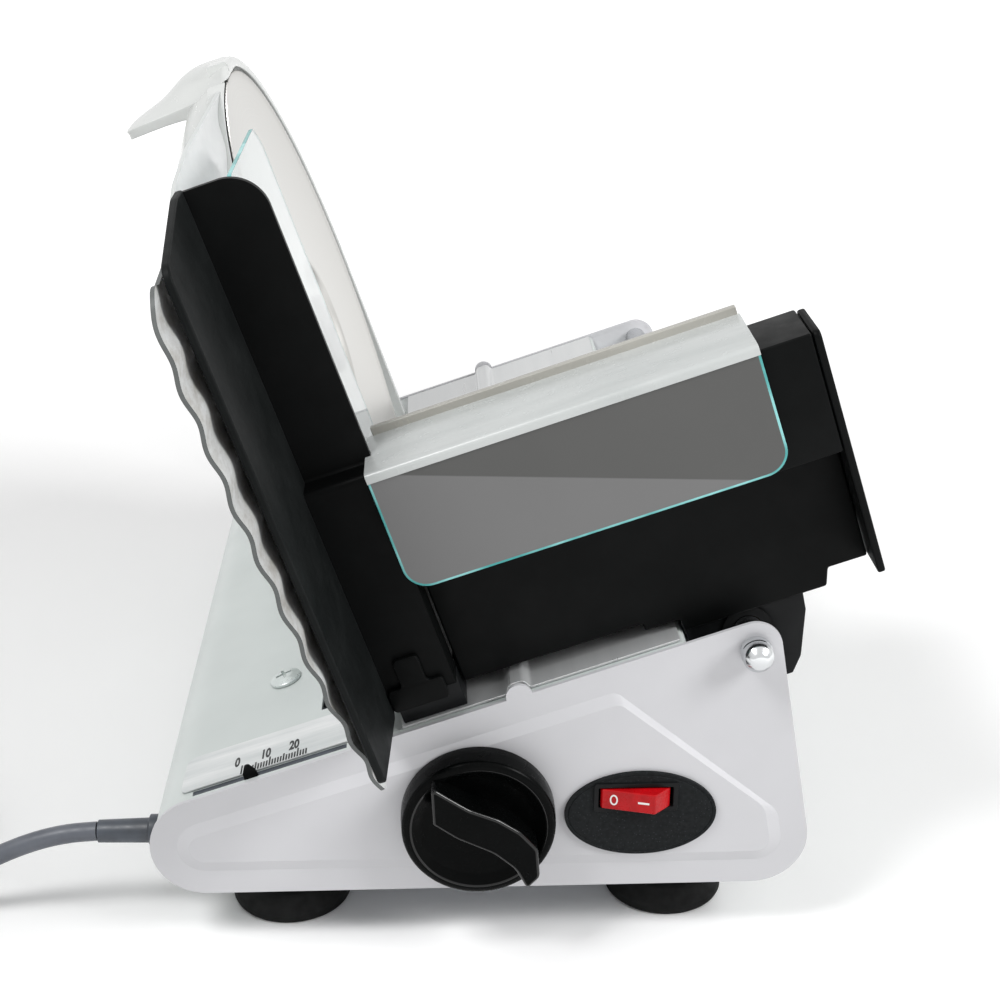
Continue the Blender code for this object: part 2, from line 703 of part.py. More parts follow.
def knob():
    crown = KNOB_RADIUS * 4 / 5
    bore = SHAFT_RADIUS + GAP
    depth = KNOB_HEIGHT / 2
    profile = [(0, KNOB_FACE + SHEET), (crown, KNOB_FACE), (KNOB_RADIUS - SHEET, KNOB_FACE - SHEET),
               (KNOB_RADIUS, KNOB_SKIRT), (KNOB_RADIUS, GAP), (0, GAP)]
    body = turned("thickness_knob", profile, (KNOB_X, 0, KNOB_Z), BLACK_PLASTIC, BASE_FRAME, TOWARDS_USER,
                  steps=FINE_TURN_STEPS)
    grip = [Vector((x * KNOB_RADIUS, z * KNOB_RADIUS)) for x, z in GRIP_SHARES]
    ridge = plate("knob_grip", [grip], KNOB_HEIGHT - KNOB_SKIRT, (KNOB_X, -(KNOB_HEIGHT + KNOB_SKIRT) / 2, KNOB_Z),
                  None, BASE_FRAME, FRONT)
    join(body, ridge)
    cut(body, rod("knob_bore", bore, (KNOB_X, -depth, KNOB_Z), (KNOB_X, OVERRUN, KNOB_Z), None, BASE_FRAME))


def knob_shaft():
    end = BRACKET_Y + SHEET + OVERRUN / 2
    start = -KNOB_HEIGHT / 2 + GAP
    shaft = rod("knob_shaft", SHAFT_RADIUS, (KNOB_X, start, KNOB_Z), (KNOB_X, end, KNOB_Z), ZINC_STEEL, BASE_FRAME)
    low = POINTER_Y[0] - GAP
    high = RACK_Y[1]
    pinion = plate("knob_pinion_teeth", [gear_outline(PINION_TEETH, PINION_RADIUS, tooth_height())], high - low,
                   (KNOB_X, (low + high) / 2, KNOB_Z), None, BASE_FRAME, (QUARTER, -SLOPE, 0))
    join(shaft, pinion)


def knob_bush():
    """The flanged bush that carries the knob's shaft in the front panel."""
    inner = SHAFT_RADIUS + GAP
    face = PRESSED_DEPTH + GAP
    seat = PANEL_THICKNESS + GAP
    flange = BUSH_RADIUS + SHEET
    profile = [(inner, seat + SHEET), (flange, seat + SHEET), (flange, seat), (BUSH_RADIUS, seat),
               (BUSH_RADIUS, face), (inner, face)]
    turned("knob_bush", profile, (KNOB_X, 0, KNOB_Z), BRONZE, BASE_FRAME, ALONG_Y, ring=True)


def knob_bracket():
    """The plate behind the front panel that carries the inner end of the knob's shaft."""
    a, n = knob_slope_place()
    bosses = bracket_boss_places()
    border = BRACKET_BOSS_RADIUS * 2
    low = n - BRACKET_BOSS_DROP - border / 2
    outline = rounded([(bosses[0][0] - border / 2, low, SHEET), (bosses[1][0] + border / 2, low, SHEET),
                       (bosses[1][0] + border / 2, low + border * 2, SHEET), (a + border, n + border / 2, SHEET),
                       (a - border, n + border / 2, SHEET), (bosses[0][0] - border / 2, low + border * 2, SHEET)])
    holes = [circle((a, n), SHAFT_RADIUS + GAP)]
    holes += [circle(place, SCREW_SHANK + GAP, ARC_STEPS * 2) for place in bosses]
    plate("knob_bracket", [outline] + holes, SHEET, (0, BRACKET_Y + SHEET / 2, 0), ZINC_STEEL, SLOPE_FRAME, FRONT)


def bracket_screws():
    """Two screws that fix the bracket to the bosses of the front panel."""
    seat = BRACKET_Y + SHEET + GAP
    tip = BRACKET_Y - BRACKET_SCREW + GAP
    profile = [(0, seat + SHEET), (BRACKET_BOSS_RADIUS, seat + SHEET), (BRACKET_BOSS_RADIUS, seat),
               (SCREW_SHANK, seat), (SCREW_SHANK, tip), (0, tip)]
    for number, (a, n) in enumerate(bracket_boss_places(), 1):
        turned(f"bracket_screw_{number}", profile, (a, 0, n), ZINC_STEEL, SLOPE_FRAME, ALONG_Y, steps=ARC_STEPS * 2)


# Power switch

SWITCH_PLATE_HALF = (0.0252, 0.0160)
SWITCH_PLATE_X = 0.0529
SWITCH_PLATE_Z = 0.0498
SWITCH_PLATE_THICKNESS = 0.0018
ROCKER_HALF = (0.0116, 0.0066)
ROCKER_PIVOT = 0.0026
ROCKER_TILT = math.radians(9)
ROCKER_CREST = 0.0036
ROCKER_DIP = 0.0016
SWITCH_BODY_DEPTH = 0.022
SWITCH_FRAME = 0.0009


def switch_plate():
    """The oval plate round the switch."""
    steps = FINE_TURN_STEPS // 2
    half_x, half_z = SWITCH_PLATE_HALF
    oval = [Vector((SWITCH_PLATE_X + half_x * math.cos(2 * math.pi * step / steps),
                    SWITCH_PLATE_Z + half_z * math.sin(2 * math.pi * step / steps))) for step in range(steps)]
    hole_x, hole_z = SWITCH_HALF
    hole = rectangle((SWITCH_X - hole_x - GAP, SWITCH_Z - hole_z - GAP),
                     (SWITCH_X + hole_x + GAP, SWITCH_Z + hole_z + GAP))
    seat = PRESSED_DEPTH - GAP
    plate("switch_plate", [oval, hole], SWITCH_PLATE_THICKNESS, (0, seat - SWITCH_PLATE_THICKNESS / 2, 0),
          DARK_PLASTIC, BASE_FRAME, FRONT)


def switch_body():
    """The switch's case, open at the front for the rocker."""
    half_x, half_z = SWITCH_HALF
    front = PRESSED_DEPTH - GAP - SWITCH_PLATE_THICKNESS
    body = box("switch_body", (SWITCH_X - half_x, front, SWITCH_Z - half_z),
               (SWITCH_X + half_x, front + SWITCH_BODY_DEPTH, SWITCH_Z + half_z), DARK_PLASTIC, BASE_FRAME)
    room_x = half_x - SWITCH_FRAME
    room_z = half_z - SWITCH_FRAME
    cut(body, box("rocker_room", (SWITCH_X - room_x, front - OVERRUN, SWITCH_Z - room_z),
                  (SWITCH_X + room_x, front + SWITCH_BODY_DEPTH / 2, SWITCH_Z + room_z), None, BASE_FRAME))
    return body


def rocker():
    """The rocker, tilted to its off position, with its off end pressed in."""
    half_x, half_z = ROCKER_HALF
    pivot = empty("rocker_pivot", (SWITCH_X, ROCKER_PIVOT, SWITCH_Z), BASE_FRAME, (0, 0, -ROCKER_TILT))
    crest = -ROCKER_PIVOT - ROCKER_CREST
    outline = [Vector((-half_x, crest)), Vector((0, crest + ROCKER_DIP)), Vector((half_x, crest)),
               Vector((half_x - SHEET, ROCKER_PIVOT)), Vector((half_x / 3, ROCKER_PIVOT * 2)),
               Vector((-half_x / 3, ROCKER_PIVOT * 2)), Vector((-half_x + SHEET, ROCKER_PIVOT))]
    plate("power_rocker", [outline], half_z * 2, (0, 0, 0), RED_PLASTIC, pivot)


# Thickness fence with its bracket, slider, rack, guide rods and pointer

FENCE_THICKNESS = 0.0020
FENCE_WAVE = 0.0013
RIB_PITCH = 0.0175
FENCE_BOTTOM = 0.014
FENCE_SEAT = 0.0025
FENCE_TOP_INSET = 0.0020
FENCE_TOP_FAR = BLADE_RISE + BLADE_RADIUS - FENCE_TOP_INSET
FENCE_TOP_FALL = 0.009
FENCE_TOP_NEAR = FENCE_TOP_FAR - FENCE_TOP_FALL
FENCE_SHOULDER_FALL = 0.013
FENCE_SHOULDER = FENCE_TOP_NEAR - FENCE_SHOULDER_FALL
FENCE_CROWN_Y = 0.030
BLADE_CLEARANCE = 0.0025
BRACKET_TOP = 0.090
SLIDER_TOP = -0.008
SLIDER_BOTTOM = -0.022
SLIDER_WIDTH = 0.014
SLIDER_Y = (0.024, 0.076)
GUIDE_RADIUS = 0.0030
GUIDE_N = -0.015
GUIDE_Y = (0.032, 0.068)
HANGER_WIDTH = 0.010
HANGER_RIGHT = -0.042
RACK_RIGHT = -0.002
RACK_BACK = 0.004
SCREW_HEAD = 0.0058
SCREW_HEAD_HEIGHT = 0.0020
SCREW_LENGTH = 0.0085
POINTER_A = -0.094
POINTER_TIP = 0.004
POINTER_HALF = 0.002
POINTER_NECK = -0.008
POINTER_RACK = (-0.066, -0.019)


def fence_face():
    """Where the crests of the fence's ribs stand, at the thickness set at rest."""
    return BLADE_PLANE - THICKNESS_AT_REST


def fence_back():
    return fence_face() - FENCE_WAVE * 2 - FENCE_THICKNESS - GAP


def fence_plate():
    middle = fence_face() - FENCE_WAVE
    low, high = FENCE_SEAT - OVERRUN, FENCE_TOP_FAR + OVERRUN
    steps = math.ceil((high - low) / RIB_PITCH * (ARC_STEPS + 2))
    ribs = []
    for step in range(steps + 1):
        n = low + (high - low) * step / steps
        ribs.append(Vector((middle + FENCE_WAVE * math.cos(2 * math.pi * n / RIB_PITCH), n)))
    back = [Vector((point.x - FENCE_THICKNESS, point.y)) for point in ribs]
    sheet = plate("fence_plate", [ribs + back[::-1]], BLADE_Y - FENCE_NEAR, (0, (BLADE_Y + FENCE_NEAR) / 2, 0),
                  ALUMINIUM, FENCE_FRAME, FRONT)
    radius = BLADE_RADIUS + BLADE_CLEARANCE
    top_angle = 180 - math.degrees(math.asin((FENCE_TOP_FAR - BLADE_RISE) / radius))
    low_angle = 180 + math.degrees(math.asin((BLADE_RISE - FENCE_SEAT) / radius))
    curved = arc((BLADE_Y, BLADE_RISE), radius, top_angle, low_angle, FINE_TURN_STEPS // 2)
    outline = rounded([(FENCE_BOTTOM, FENCE_SEAT, 0), (FENCE_BOTTOM, FENCE_BOTTOM, 0),
                       (FENCE_NEAR, FENCE_BOTTOM, FENCE_BOTTOM / 4),
                       (FENCE_NEAR, FENCE_SHOULDER, FENCE_BOTTOM / 3),
                       (FENCE_NEAR + FENCE_BOTTOM, FENCE_TOP_NEAR - FENCE_SEAT, FENCE_BOTTOM),
                       (FENCE_CROWN_Y, FENCE_TOP_NEAR, FENCE_BOTTOM), (*curved[0], 0)])
    trim = plate("fence_outline", [outline + curved[1:]], FENCE_BOTTOM * 2, (middle, 0, 0), None, FENCE_FRAME, SIDE)
    combine(sheet, trim, "INTERSECT")


def fence_bracket():
    """The steel plate behind the fence, with two tongues that reach through the cover to the slider."""
    near, far = TONGUES_Y[0] - TONGUE_WIDTH / 2, TONGUES_Y[1] + TONGUE_WIDTH / 2
    inner_near, inner_far = TONGUES_Y[0] + TONGUE_WIDTH / 2, TONGUES_Y[1] - TONGUE_WIDTH / 2
    foot = SLIDER_TOP + GAP
    outline = rounded([(near, foot, 0), (inner_near, foot, 0), (inner_near, FENCE_SEAT, SHEET),
                       (inner_far, FENCE_SEAT, SHEET), (inner_far, foot, 0), (far, foot, 0),
                       (far, BRACKET_TOP, TONGUE_WIDTH / 2), (near, BRACKET_TOP, TONGUE_WIDTH / 2)])
    plate("fence_bracket", [outline], FENCE_THICKNESS, (fence_back() - FENCE_THICKNESS / 2, 0, 0),
          ZINC_STEEL, FENCE_FRAME, SIDE)


def slider_left():
    return fence_back() + SHEET - SLIDER_WIDTH


def fence_slider():
    """The block under the cover that runs on the guide rods, in one piece with the rack over the pinion."""
    a, n = knob_slope_place()
    line = n + PINION_RADIUS
    left, right = slider_left(), slider_left() + SLIDER_WIDTH
    block = box("fence_slider", (left, SLIDER_Y[0], SLIDER_BOTTOM), (right, SLIDER_Y[1], SLIDER_TOP), DARK_PLASTIC,
                FENCE_FRAME)
    root = line + tooth_height() + GAP
    low, high = RACK_Y
    teeth = rack_teeth(left, RACK_RIGHT, line, a, -1)
    body = [Vector((RACK_RIGHT, root)), Vector((RACK_RIGHT, root + RACK_BACK)), Vector((right, root + RACK_BACK)),
            Vector((right, SLIDER_TOP)), Vector((left, SLIDER_TOP)), Vector((left, root))]
    join(block, box("rack_web", (left + GAP, low + GAP, SLIDER_BOTTOM + SHEET),
                    (right - GAP, SLIDER_Y[0] + SHEET, SLIDER_TOP - GAP), None, FENCE_FRAME))
    join(block, plate("fence_rack", [teeth + body], high - low, (0, (low + high) / 2, 0), None, FENCE_FRAME, FRONT))
    block.modifiers[-1].use_self = True
    for number, y in enumerate(GUIDE_Y, 1):
        cut(block, rod(f"guide_bore_{number}", GUIDE_RADIUS + GAP, (left - OVERRUN, y, GUIDE_N),
                       (right + OVERRUN, y, GUIDE_N), None, FENCE_FRAME, ALONG_X))


def guide_rods():
    """Two steel rods, square to the fence, held by the hangers."""
    left = SCREW_A - HANGER_WIDTH / 2 + SHEET
    right = HANGER_RIGHT + HANGER_WIDTH - SHEET
    for number, y in enumerate(GUIDE_Y, 1):
        rod(f"guide_rod_{number}", GUIDE_RADIUS, (left, y, GUIDE_N), (right, y, GUIDE_N), ZINC_STEEL, SLOPE_FRAME,
            ALONG_X)


def rod_hanger(name, left, open_side):
    """A block under the cover with two blind sockets that open towards the fence's slider."""
    top = -COVER_INSET - SHEET - GAP
    hanger = box(name, (left, SLIDER_Y[0], SLIDER_BOTTOM), (left + HANGER_WIDTH, SLIDER_Y[1], top), DARK_PLASTIC,
                 SLOPE_FRAME)
    start = left - OVERRUN if open_side < 0 else left + SHEET - GAP
    end = left + HANGER_WIDTH + (OVERRUN if open_side > 0 else GAP - SHEET)
    for number, y in enumerate(GUIDE_Y, 1):
        cut(hanger, rod(f"{name}_socket_{number}", GUIDE_RADIUS + GAP, (start, y, GUIDE_N), (end, y, GUIDE_N), None,
                        SLOPE_FRAME, ALONG_X))
    return hanger


def cover_screw():
    """The pan head screw that holds the left hanger under the cover."""
    seat = -COVER_INSET + GAP
    tip = seat - SCREW_LENGTH
    crown = SCREW_HEAD / 2
    profile = [(0, seat + SCREW_HEAD_HEIGHT), (crown, seat + SCREW_HEAD_HEIGHT),
               (SCREW_HEAD, seat + SCREW_HEAD_HEIGHT / 2), (SCREW_HEAD, seat), (SCREW_SHANK, seat),
               (SCREW_SHANK, tip), (0, tip)]
    screw = turned("cover_screw", profile, (SCREW_A, SCREW_Y, 0), ZINC_STEEL, SLOPE_FRAME)
    arm, slot = SCREW_HEAD * 3 / 5, SCREW_SHANK / 3
    deep = seat + SCREW_HEAD_HEIGHT / 2
    for name, x, y in (("recess_across", arm, slot), ("recess_along", slot, arm)):
        cut(screw, box(name, (SCREW_A - x, SCREW_Y - y, deep), (SCREW_A + x, SCREW_Y + y, OVERRUN), None, SLOPE_FRAME))


def rod_hangers():
    left = rod_hanger("guide_hanger_left", SCREW_A - HANGER_WIDTH / 2, 1)
    seat = -COVER_INSET + GAP
    cut(left, rod("hanger_thread", SCREW_SHANK + GAP, (SCREW_A, SCREW_Y, seat - SCREW_LENGTH - GAP),
                  (SCREW_A, SCREW_Y, OVERRUN), None, SLOPE_FRAME, FLAT, steps=ARC_STEPS * 2))
    rod_hanger("guide_hanger_right", HANGER_RIGHT, -1)


def pointer():
    """The pointer with its rack under the pinion; its tip stands in the slot beside the scale."""
    a, n = knob_slope_place()
    line = n - PINION_RADIUS
    left, right = POINTER_RACK
    root = line - tooth_height() - GAP
    tip = POINTER_TIP
    half = POINTER_HALF
    outline = rack_teeth(left, right, line, a, 1)
    outline += [Vector((right, root)), Vector((right, root - RACK_BACK)), Vector((left, root - RACK_BACK)),
                Vector((POINTER_A - half, POINTER_NECK)), Vector((POINTER_A - half, 0)), Vector((POINTER_A, tip)),
                Vector((POINTER_A + half, 0)), Vector((POINTER_A + half, POINTER_NECK)), Vector((left, root))]
    low, high = POINTER_Y
    plate("thickness_pointer", [outline], high - low, (0, (low + high) / 2, 0), BLACK_PLASTIC, POINTER_FRAME, FRONT)


# Blade, its shaft and its drive

BLADE_FACE = -0.0008
BLADE_THICKNESS = 0.0016
BEVEL_WIDTH = 0.006
DISH_INNER = 0.026
DISH_OUTER = 0.032
DISH_DEPTH = 0.0066
BLADE_SHAFT = 0.0050
HUB_RADIUS = 0.014
HUB_THICKNESS = 0.0010
LOCK_RADIUS = 0.0165
LOCK_FACE = -0.0012
LOCK_SLOT = 0.0035
BEARING_SHAFT = 0.0060
BEARING_OUTER = 0.0090
BOSS_RADIUS = 0.0125
BOSS_TO_WHEEL = 0.0084
FRONT_PLATE = (-0.0113, -0.0098)
HOUSING_FRONT = -0.0041
HOUSING_DEPTH = 0.0605
HOUSING_WALL = 0.0025
DRIVE_ROOM = FRONT_PLATE[0] - (HOUSING_FRONT - HOUSING_DEPTH + HOUSING_WALL)
WHEEL_RADIUS = 0.028
WHEEL_TEETH = 36
WHEEL_WIDTH = 0.010
WHEEL_BACK = FRONT_PLATE[0] - DRIVE_ROOM / 2 - WHEEL_WIDTH / 2
BOSS_DEPTH = FRONT_PLATE[1] - WHEEL_BACK - WHEEL_WIDTH - BOSS_TO_WHEEL
WHEEL_HUB = 0.011
WORM_RADIUS = 0.0053
WORM_TURNS = 5
WORM_STEPS = 14
WORM_BACKLASH = 0.0009
ROTOR_SHAFT = 0.0030
MOTOR_SIDE_ROOM = 0.0044
MOTOR_RADIUS = DRIVE_ROOM / 2 - MOTOR_SIDE_ROOM
MOTOR_WALL = 0.0020
ROTOR_GAP = 0.0040
ROTOR_RADIUS = MOTOR_RADIUS - MOTOR_WALL - ROTOR_GAP
MOTOR_START = 0.0320
END_CAP_RADIUS = MOTOR_RADIUS * 2 / 3
END_CAP_DEPTH = 0.0060
MOTOR_TO_HOUSING = 0.0240
MOTOR_LENGTH = HOUSING_RADIUS - MOTOR_TO_HOUSING - END_CAP_DEPTH - MOTOR_START
MOTOR_NECK = 0.0070
MOTOR_BRACKET_WIDTH = (MOTOR_RADIUS - MOTOR_WALL) * 2
MOTOR_BRACKET_FOOT = 0.030


def blade():
    face, back = BLADE_FACE, BLADE_FACE - BLADE_THICKNESS
    bore = BLADE_SHAFT + GAP
    deep = -DISH_DEPTH
    profile = [(bore, deep), (DISH_INNER, deep), (DISH_OUTER, face), (BLADE_RADIUS - BEVEL_WIDTH / 2, face),
               (BLADE_RADIUS, 0), (BLADE_RADIUS, face / 2), (BLADE_RADIUS - BEVEL_WIDTH, back),
               (DISH_OUTER + SHEET / 2, back), (DISH_INNER + SHEET / 2, deep - BLADE_THICKNESS),
               (bore, deep - BLADE_THICKNESS)]
    turned("blade", profile, (0, 0, 0), POLISHED_STEEL, BLADE_FRAME, ALONG_X, steps=FINE_TURN_STEPS, ring=True)


def lock_knob():
    """The round knob that screws onto the shaft inside the blade's dish; a slot takes a coin."""
    seat = -DISH_DEPTH + GAP
    bore = BLADE_SHAFT + GAP
    depth = LOCK_FACE - LOCK_SLOT / 2
    profile = [(bore, seat), (bore, depth - SHEET), (0, depth - SHEET), (0, LOCK_FACE - LOCK_SLOT / 4),
               (LOCK_RADIUS - LOCK_SLOT, LOCK_FACE), (LOCK_RADIUS, LOCK_FACE - SHEET / 2), (LOCK_RADIUS, seat)]
    cap = turned("blade_lock_knob", profile, (0, 0, 0), BLACK_PLASTIC, BLADE_FRAME, ALONG_X, ring=True)
    cut(cap, box("coin_slot", (LOCK_FACE - LOCK_SLOT / 3, -LOCK_RADIUS / 2, -LOCK_SLOT / 2),
                 (LOCK_FACE + OVERRUN, LOCK_RADIUS / 2, LOCK_SLOT / 2), None, BLADE_FRAME))


def blade_shaft():
    tip = LOCK_FACE - LOCK_SLOT / 2 - SHEET - GAP
    seat = -DISH_DEPTH - BLADE_THICKNESS - GAP
    end = WHEEL_BACK - WHEEL_WIDTH / 2
    profile = [(0, tip), (BLADE_SHAFT, tip), (BLADE_SHAFT, seat), (HUB_RADIUS, seat),
               (HUB_RADIUS, seat - HUB_THICKNESS), (BEARING_SHAFT, seat - HUB_THICKNESS), (BEARING_SHAFT, end),
               (0, end)]
    turned("blade_shaft", profile, (0, 0, 0), ZINC_STEEL, BLADE_FRAME, ALONG_X)


def wheel_pitch():
    return 2 * math.pi * WHEEL_RADIUS / WHEEL_TEETH


def worm_tooth():
    return TOOTH_HEIGHT_SHARE * wheel_pitch() * 4 / 5


def twisted(piece, angle):
    """Turns the two ends of a gear against each other, which makes its teeth helical."""
    for vertex in piece.data.vertices:
        turn = Matrix.Rotation(math.copysign(angle / 2, vertex.co.z), 3, "Z")
        vertex.co = turn @ vertex.co


def worm_wheel():
    """A helical wheel on the blade's shaft, driven by the motor's worm below it."""
    tooth = worm_tooth()
    outline = gear_outline(WHEEL_TEETH, WHEEL_RADIUS, tooth)
    hole = circle((0, 0), BEARING_SHAFT + GAP)
    middle = WHEEL_BACK + WHEEL_WIDTH / 2
    wheel = plate("worm_wheel", [outline, hole], WHEEL_WIDTH, (middle, 0, 0), GEAR_NYLON, BLADE_FRAME, SIDE)
    lead = wheel_pitch() / (2 * math.pi * WORM_RADIUS)
    twisted(wheel, WHEEL_WIDTH * lead / WHEEL_RADIUS)
    groove_outer = WHEEL_RADIUS - tooth * 3
    for side in (-1, 1):
        place = middle + side * WHEEL_WIDTH / 2
        ring = [(groove_outer, WHEEL_WIDTH / 4), (groove_outer, -WHEEL_WIDTH / 4), (WHEEL_HUB, -WHEEL_WIDTH / 4),
                (WHEEL_HUB, WHEEL_WIDTH / 4)]
        cut(wheel, turned(f"wheel_web_{side + 1}", ring, (place, 0, 0), None, BLADE_FRAME, ALONG_X, ring=True))


def worm_axis():
    """The motor's axis in the slope frame, below the middle of the worm wheel."""
    return (BLADE_PLANE + WHEEL_BACK + WHEEL_WIDTH / 2, BLADE_Y, BLADE_RISE - WHEEL_RADIUS - WORM_RADIUS)


def worm_thread(name, frame):
    """One helical thread, whose two ends are closed."""
    pitch = wheel_pitch()
    tooth = worm_tooth()
    core = WORM_RADIUS - tooth - SHEET
    root = pitch / 4 - WORM_BACKLASH / 4
    tip = pitch / 2 * TOOTH_TIP_SHARE - WORM_BACKLASH / 4
    mesh = bpy.data.meshes.new(name)
    shape = bmesh.new()
    rise = WORM_RADIUS + tooth - GAP
    start = -pitch * WORM_TURNS / 2 + pitch / 4
    corners = [(core, start - root), (rise, start - tip), (rise, start + tip), (core, start + root)]
    verts = [shape.verts.new((radius, 0, height)) for radius, height in corners]
    edges = [shape.edges.new((verts[i - 1], verts[i])) for i in range(4)]
    bmesh.ops.spin(shape, geom=verts + edges, cent=(0, 0, 0), axis=(0, 0, 1), angle=2 * math.pi * WORM_TURNS,
                   dvec=(0, 0, pitch / WORM_STEPS), steps=WORM_STEPS * WORM_TURNS)
    bmesh.ops.holes_fill(shape, edges=[edge for edge in shape.edges if edge.is_boundary], sides=4)
    bmesh.ops.recalc_face_normals(shape, faces=shape.faces)
    shape.to_mesh(mesh)
    shape.free()
    return add(name, mesh, (0, 0, 0), None, frame, ALONG_Y)


def rotor():
    """The motor's shaft with the worm at its near end and the rotor inside the can."""
    axis = empty("motor_axis", worm_axis(), SLOPE_FRAME)
    thread = wheel_pitch() * WORM_TURNS / 2 + wheel_pitch()
    core = WORM_RADIUS - worm_tooth() - GAP
    inner = MOTOR_START + MOTOR_WALL + SHEET
    outer = MOTOR_START + MOTOR_LENGTH - SHEET
    end = MOTOR_START + MOTOR_LENGTH + END_CAP_DEPTH / 2
    profile = [(0, end), (ROTOR_SHAFT, end), (ROTOR_SHAFT, outer), (ROTOR_RADIUS, outer), (ROTOR_RADIUS, inner),
               (ROTOR_SHAFT, inner), (ROTOR_SHAFT, thread), (core, thread), (core, -thread), (0, -thread)]
    shaft = turned("motor_rotor", profile, (0, 0, 0), ZINC_STEEL, axis, ALONG_Y, steps=WORM_STEPS)
    join(shaft, worm_thread("worm_thread", axis))


def motor_can():
    a, y, n = worm_axis()
    start, end = MOTOR_START, MOTOR_START + MOTOR_LENGTH
    bore = ROTOR_SHAFT + GAP
    inner = MOTOR_RADIUS - MOTOR_WALL
    profile = [(inner, end), (MOTOR_RADIUS, end), (MOTOR_RADIUS, start), (bore, start), (bore, start + MOTOR_WALL),
               (inner, start + MOTOR_WALL)]
    turned("motor_can", profile, (a, y, n), ZINC_STEEL, SLOPE_FRAME, ALONG_Y, ring=True)


def motor_end_cap():
    a, y, n = worm_axis()
    start = MOTOR_START + MOTOR_LENGTH + GAP
    end = start + END_CAP_DEPTH
    bore = ROTOR_SHAFT + GAP
    profile = [(0, end), (END_CAP_RADIUS, end), (END_CAP_RADIUS, start + SHEET), (MOTOR_RADIUS, start + SHEET),
               (MOTOR_RADIUS, start), (bore, start), (bore, end - SHEET), (0, end - SHEET)]
    turned("motor_end_cap", profile, (a, y, n), BLACK_PLASTIC, SLOPE_FRAME, ALONG_Y)


def motor_bracket():
    """An angle that stands on the cover and carries the motor by its near face."""
    a, y, n = worm_axis()
    foot = -COVER_INSET + GAP
    half = MOTOR_BRACKET_WIDTH / 2
    back = y + MOTOR_START - GAP
    outline = rounded([(a - half, foot, 0), (a + half, foot, 0), (a + half, n + MOTOR_NECK, MOTOR_NECK),
                       (a - half, n + MOTOR_NECK, MOTOR_NECK)])
    upright = plate("motor_bracket", [outline, circle((a, n), MOTOR_NECK - SHEET)], MOTOR_WALL,
                    (0, back - MOTOR_WALL / 2, 0), ZINC_STEEL, SLOPE_FRAME, FRONT)
    join(upright, box("motor_bracket_foot", (a - half + GAP, back - MOTOR_WALL / 2, foot),
                      (a + half - GAP, back + MOTOR_BRACKET_FOOT, foot + MOTOR_WALL), None, SLOPE_FRAME))


# Blade housing and guard

HOUSING_CAP = 0.005
HOUSING_STEPS = 22
HOUSING_SECTION_SHARES = (
    # depth, centre shift, half width, centre rise, arch, near foot, far foot
    (0.000, 0.000, 1.000, 1.000, 1.000, 0.640, 1.020),
    (0.107, 0.000, 1.000, 1.000, 1.000, 0.640, 1.020),
    (0.240, 0.000, 0.955, 1.000, 0.963, 0.610, 1.000),
    (0.420, 0.020, 0.870, 0.930, 0.870, 0.575, 1.000),
    (0.587, 0.055, 0.780, 0.854, 0.760, 0.490, 0.990),
    (0.752, 0.130, 0.720, 0.732, 0.574, 0.435, 0.970),
    (0.940, 0.278, 0.648, 0.560, 0.407, 0.370, 0.926),
)
GUARD_CLEARANCE = 0.0012
GUARD_BREADTH = 0.0043
GUARD_INNER = BLADE_RADIUS + GUARD_CLEARANCE
GUARD_OUTER = GUARD_INNER + GUARD_BREADTH
GUARD_START = 97
GUARD_FRONT = 0.0008
GUARD_BACK = -0.0076
GUARD_LIP = -0.0036
LUG_FRONT = -0.0503
LUG_HEIGHT = 0.004
LUG_TOP = BLADE_RISE + HOUSING_RADIUS + LUG_HEIGHT
LUG_WIDTH = 0.028
LUG_TIP_WIDTH = 0.012
LUG_ROOT = LUG_TOP - LUG_HEIGHT * 4


def housing_section(row, shrink=0.0, trim=0.0):
    """One arch of the housing with its straight legs, as points (y, n) from the near foot to the far foot."""
    _, shift, half, rise, height, near, far = row
    y = BLADE_Y + HOUSING_RADIUS * shift
    n = BLADE_RISE * rise
    wide = HOUSING_RADIUS * half - shrink
    tall = HOUSING_RADIUS * height - shrink
    foot = -COVER_INSET + GAP - trim
    points = [Vector((BLADE_Y - HOUSING_RADIUS * near + shrink, foot))]
    points.append((points[0] + Vector((y - wide, n))) / 2)
    for step in range(HOUSING_STEPS + 1):
        angle = math.pi * (1 - step / HOUSING_STEPS)
        points.append(Vector((y + wide * math.cos(angle), n + tall * math.sin(angle))))
    last = Vector((BLADE_Y + HOUSING_RADIUS * far - shrink, foot))
    return points + [(points[-1] + last) / 2, last]


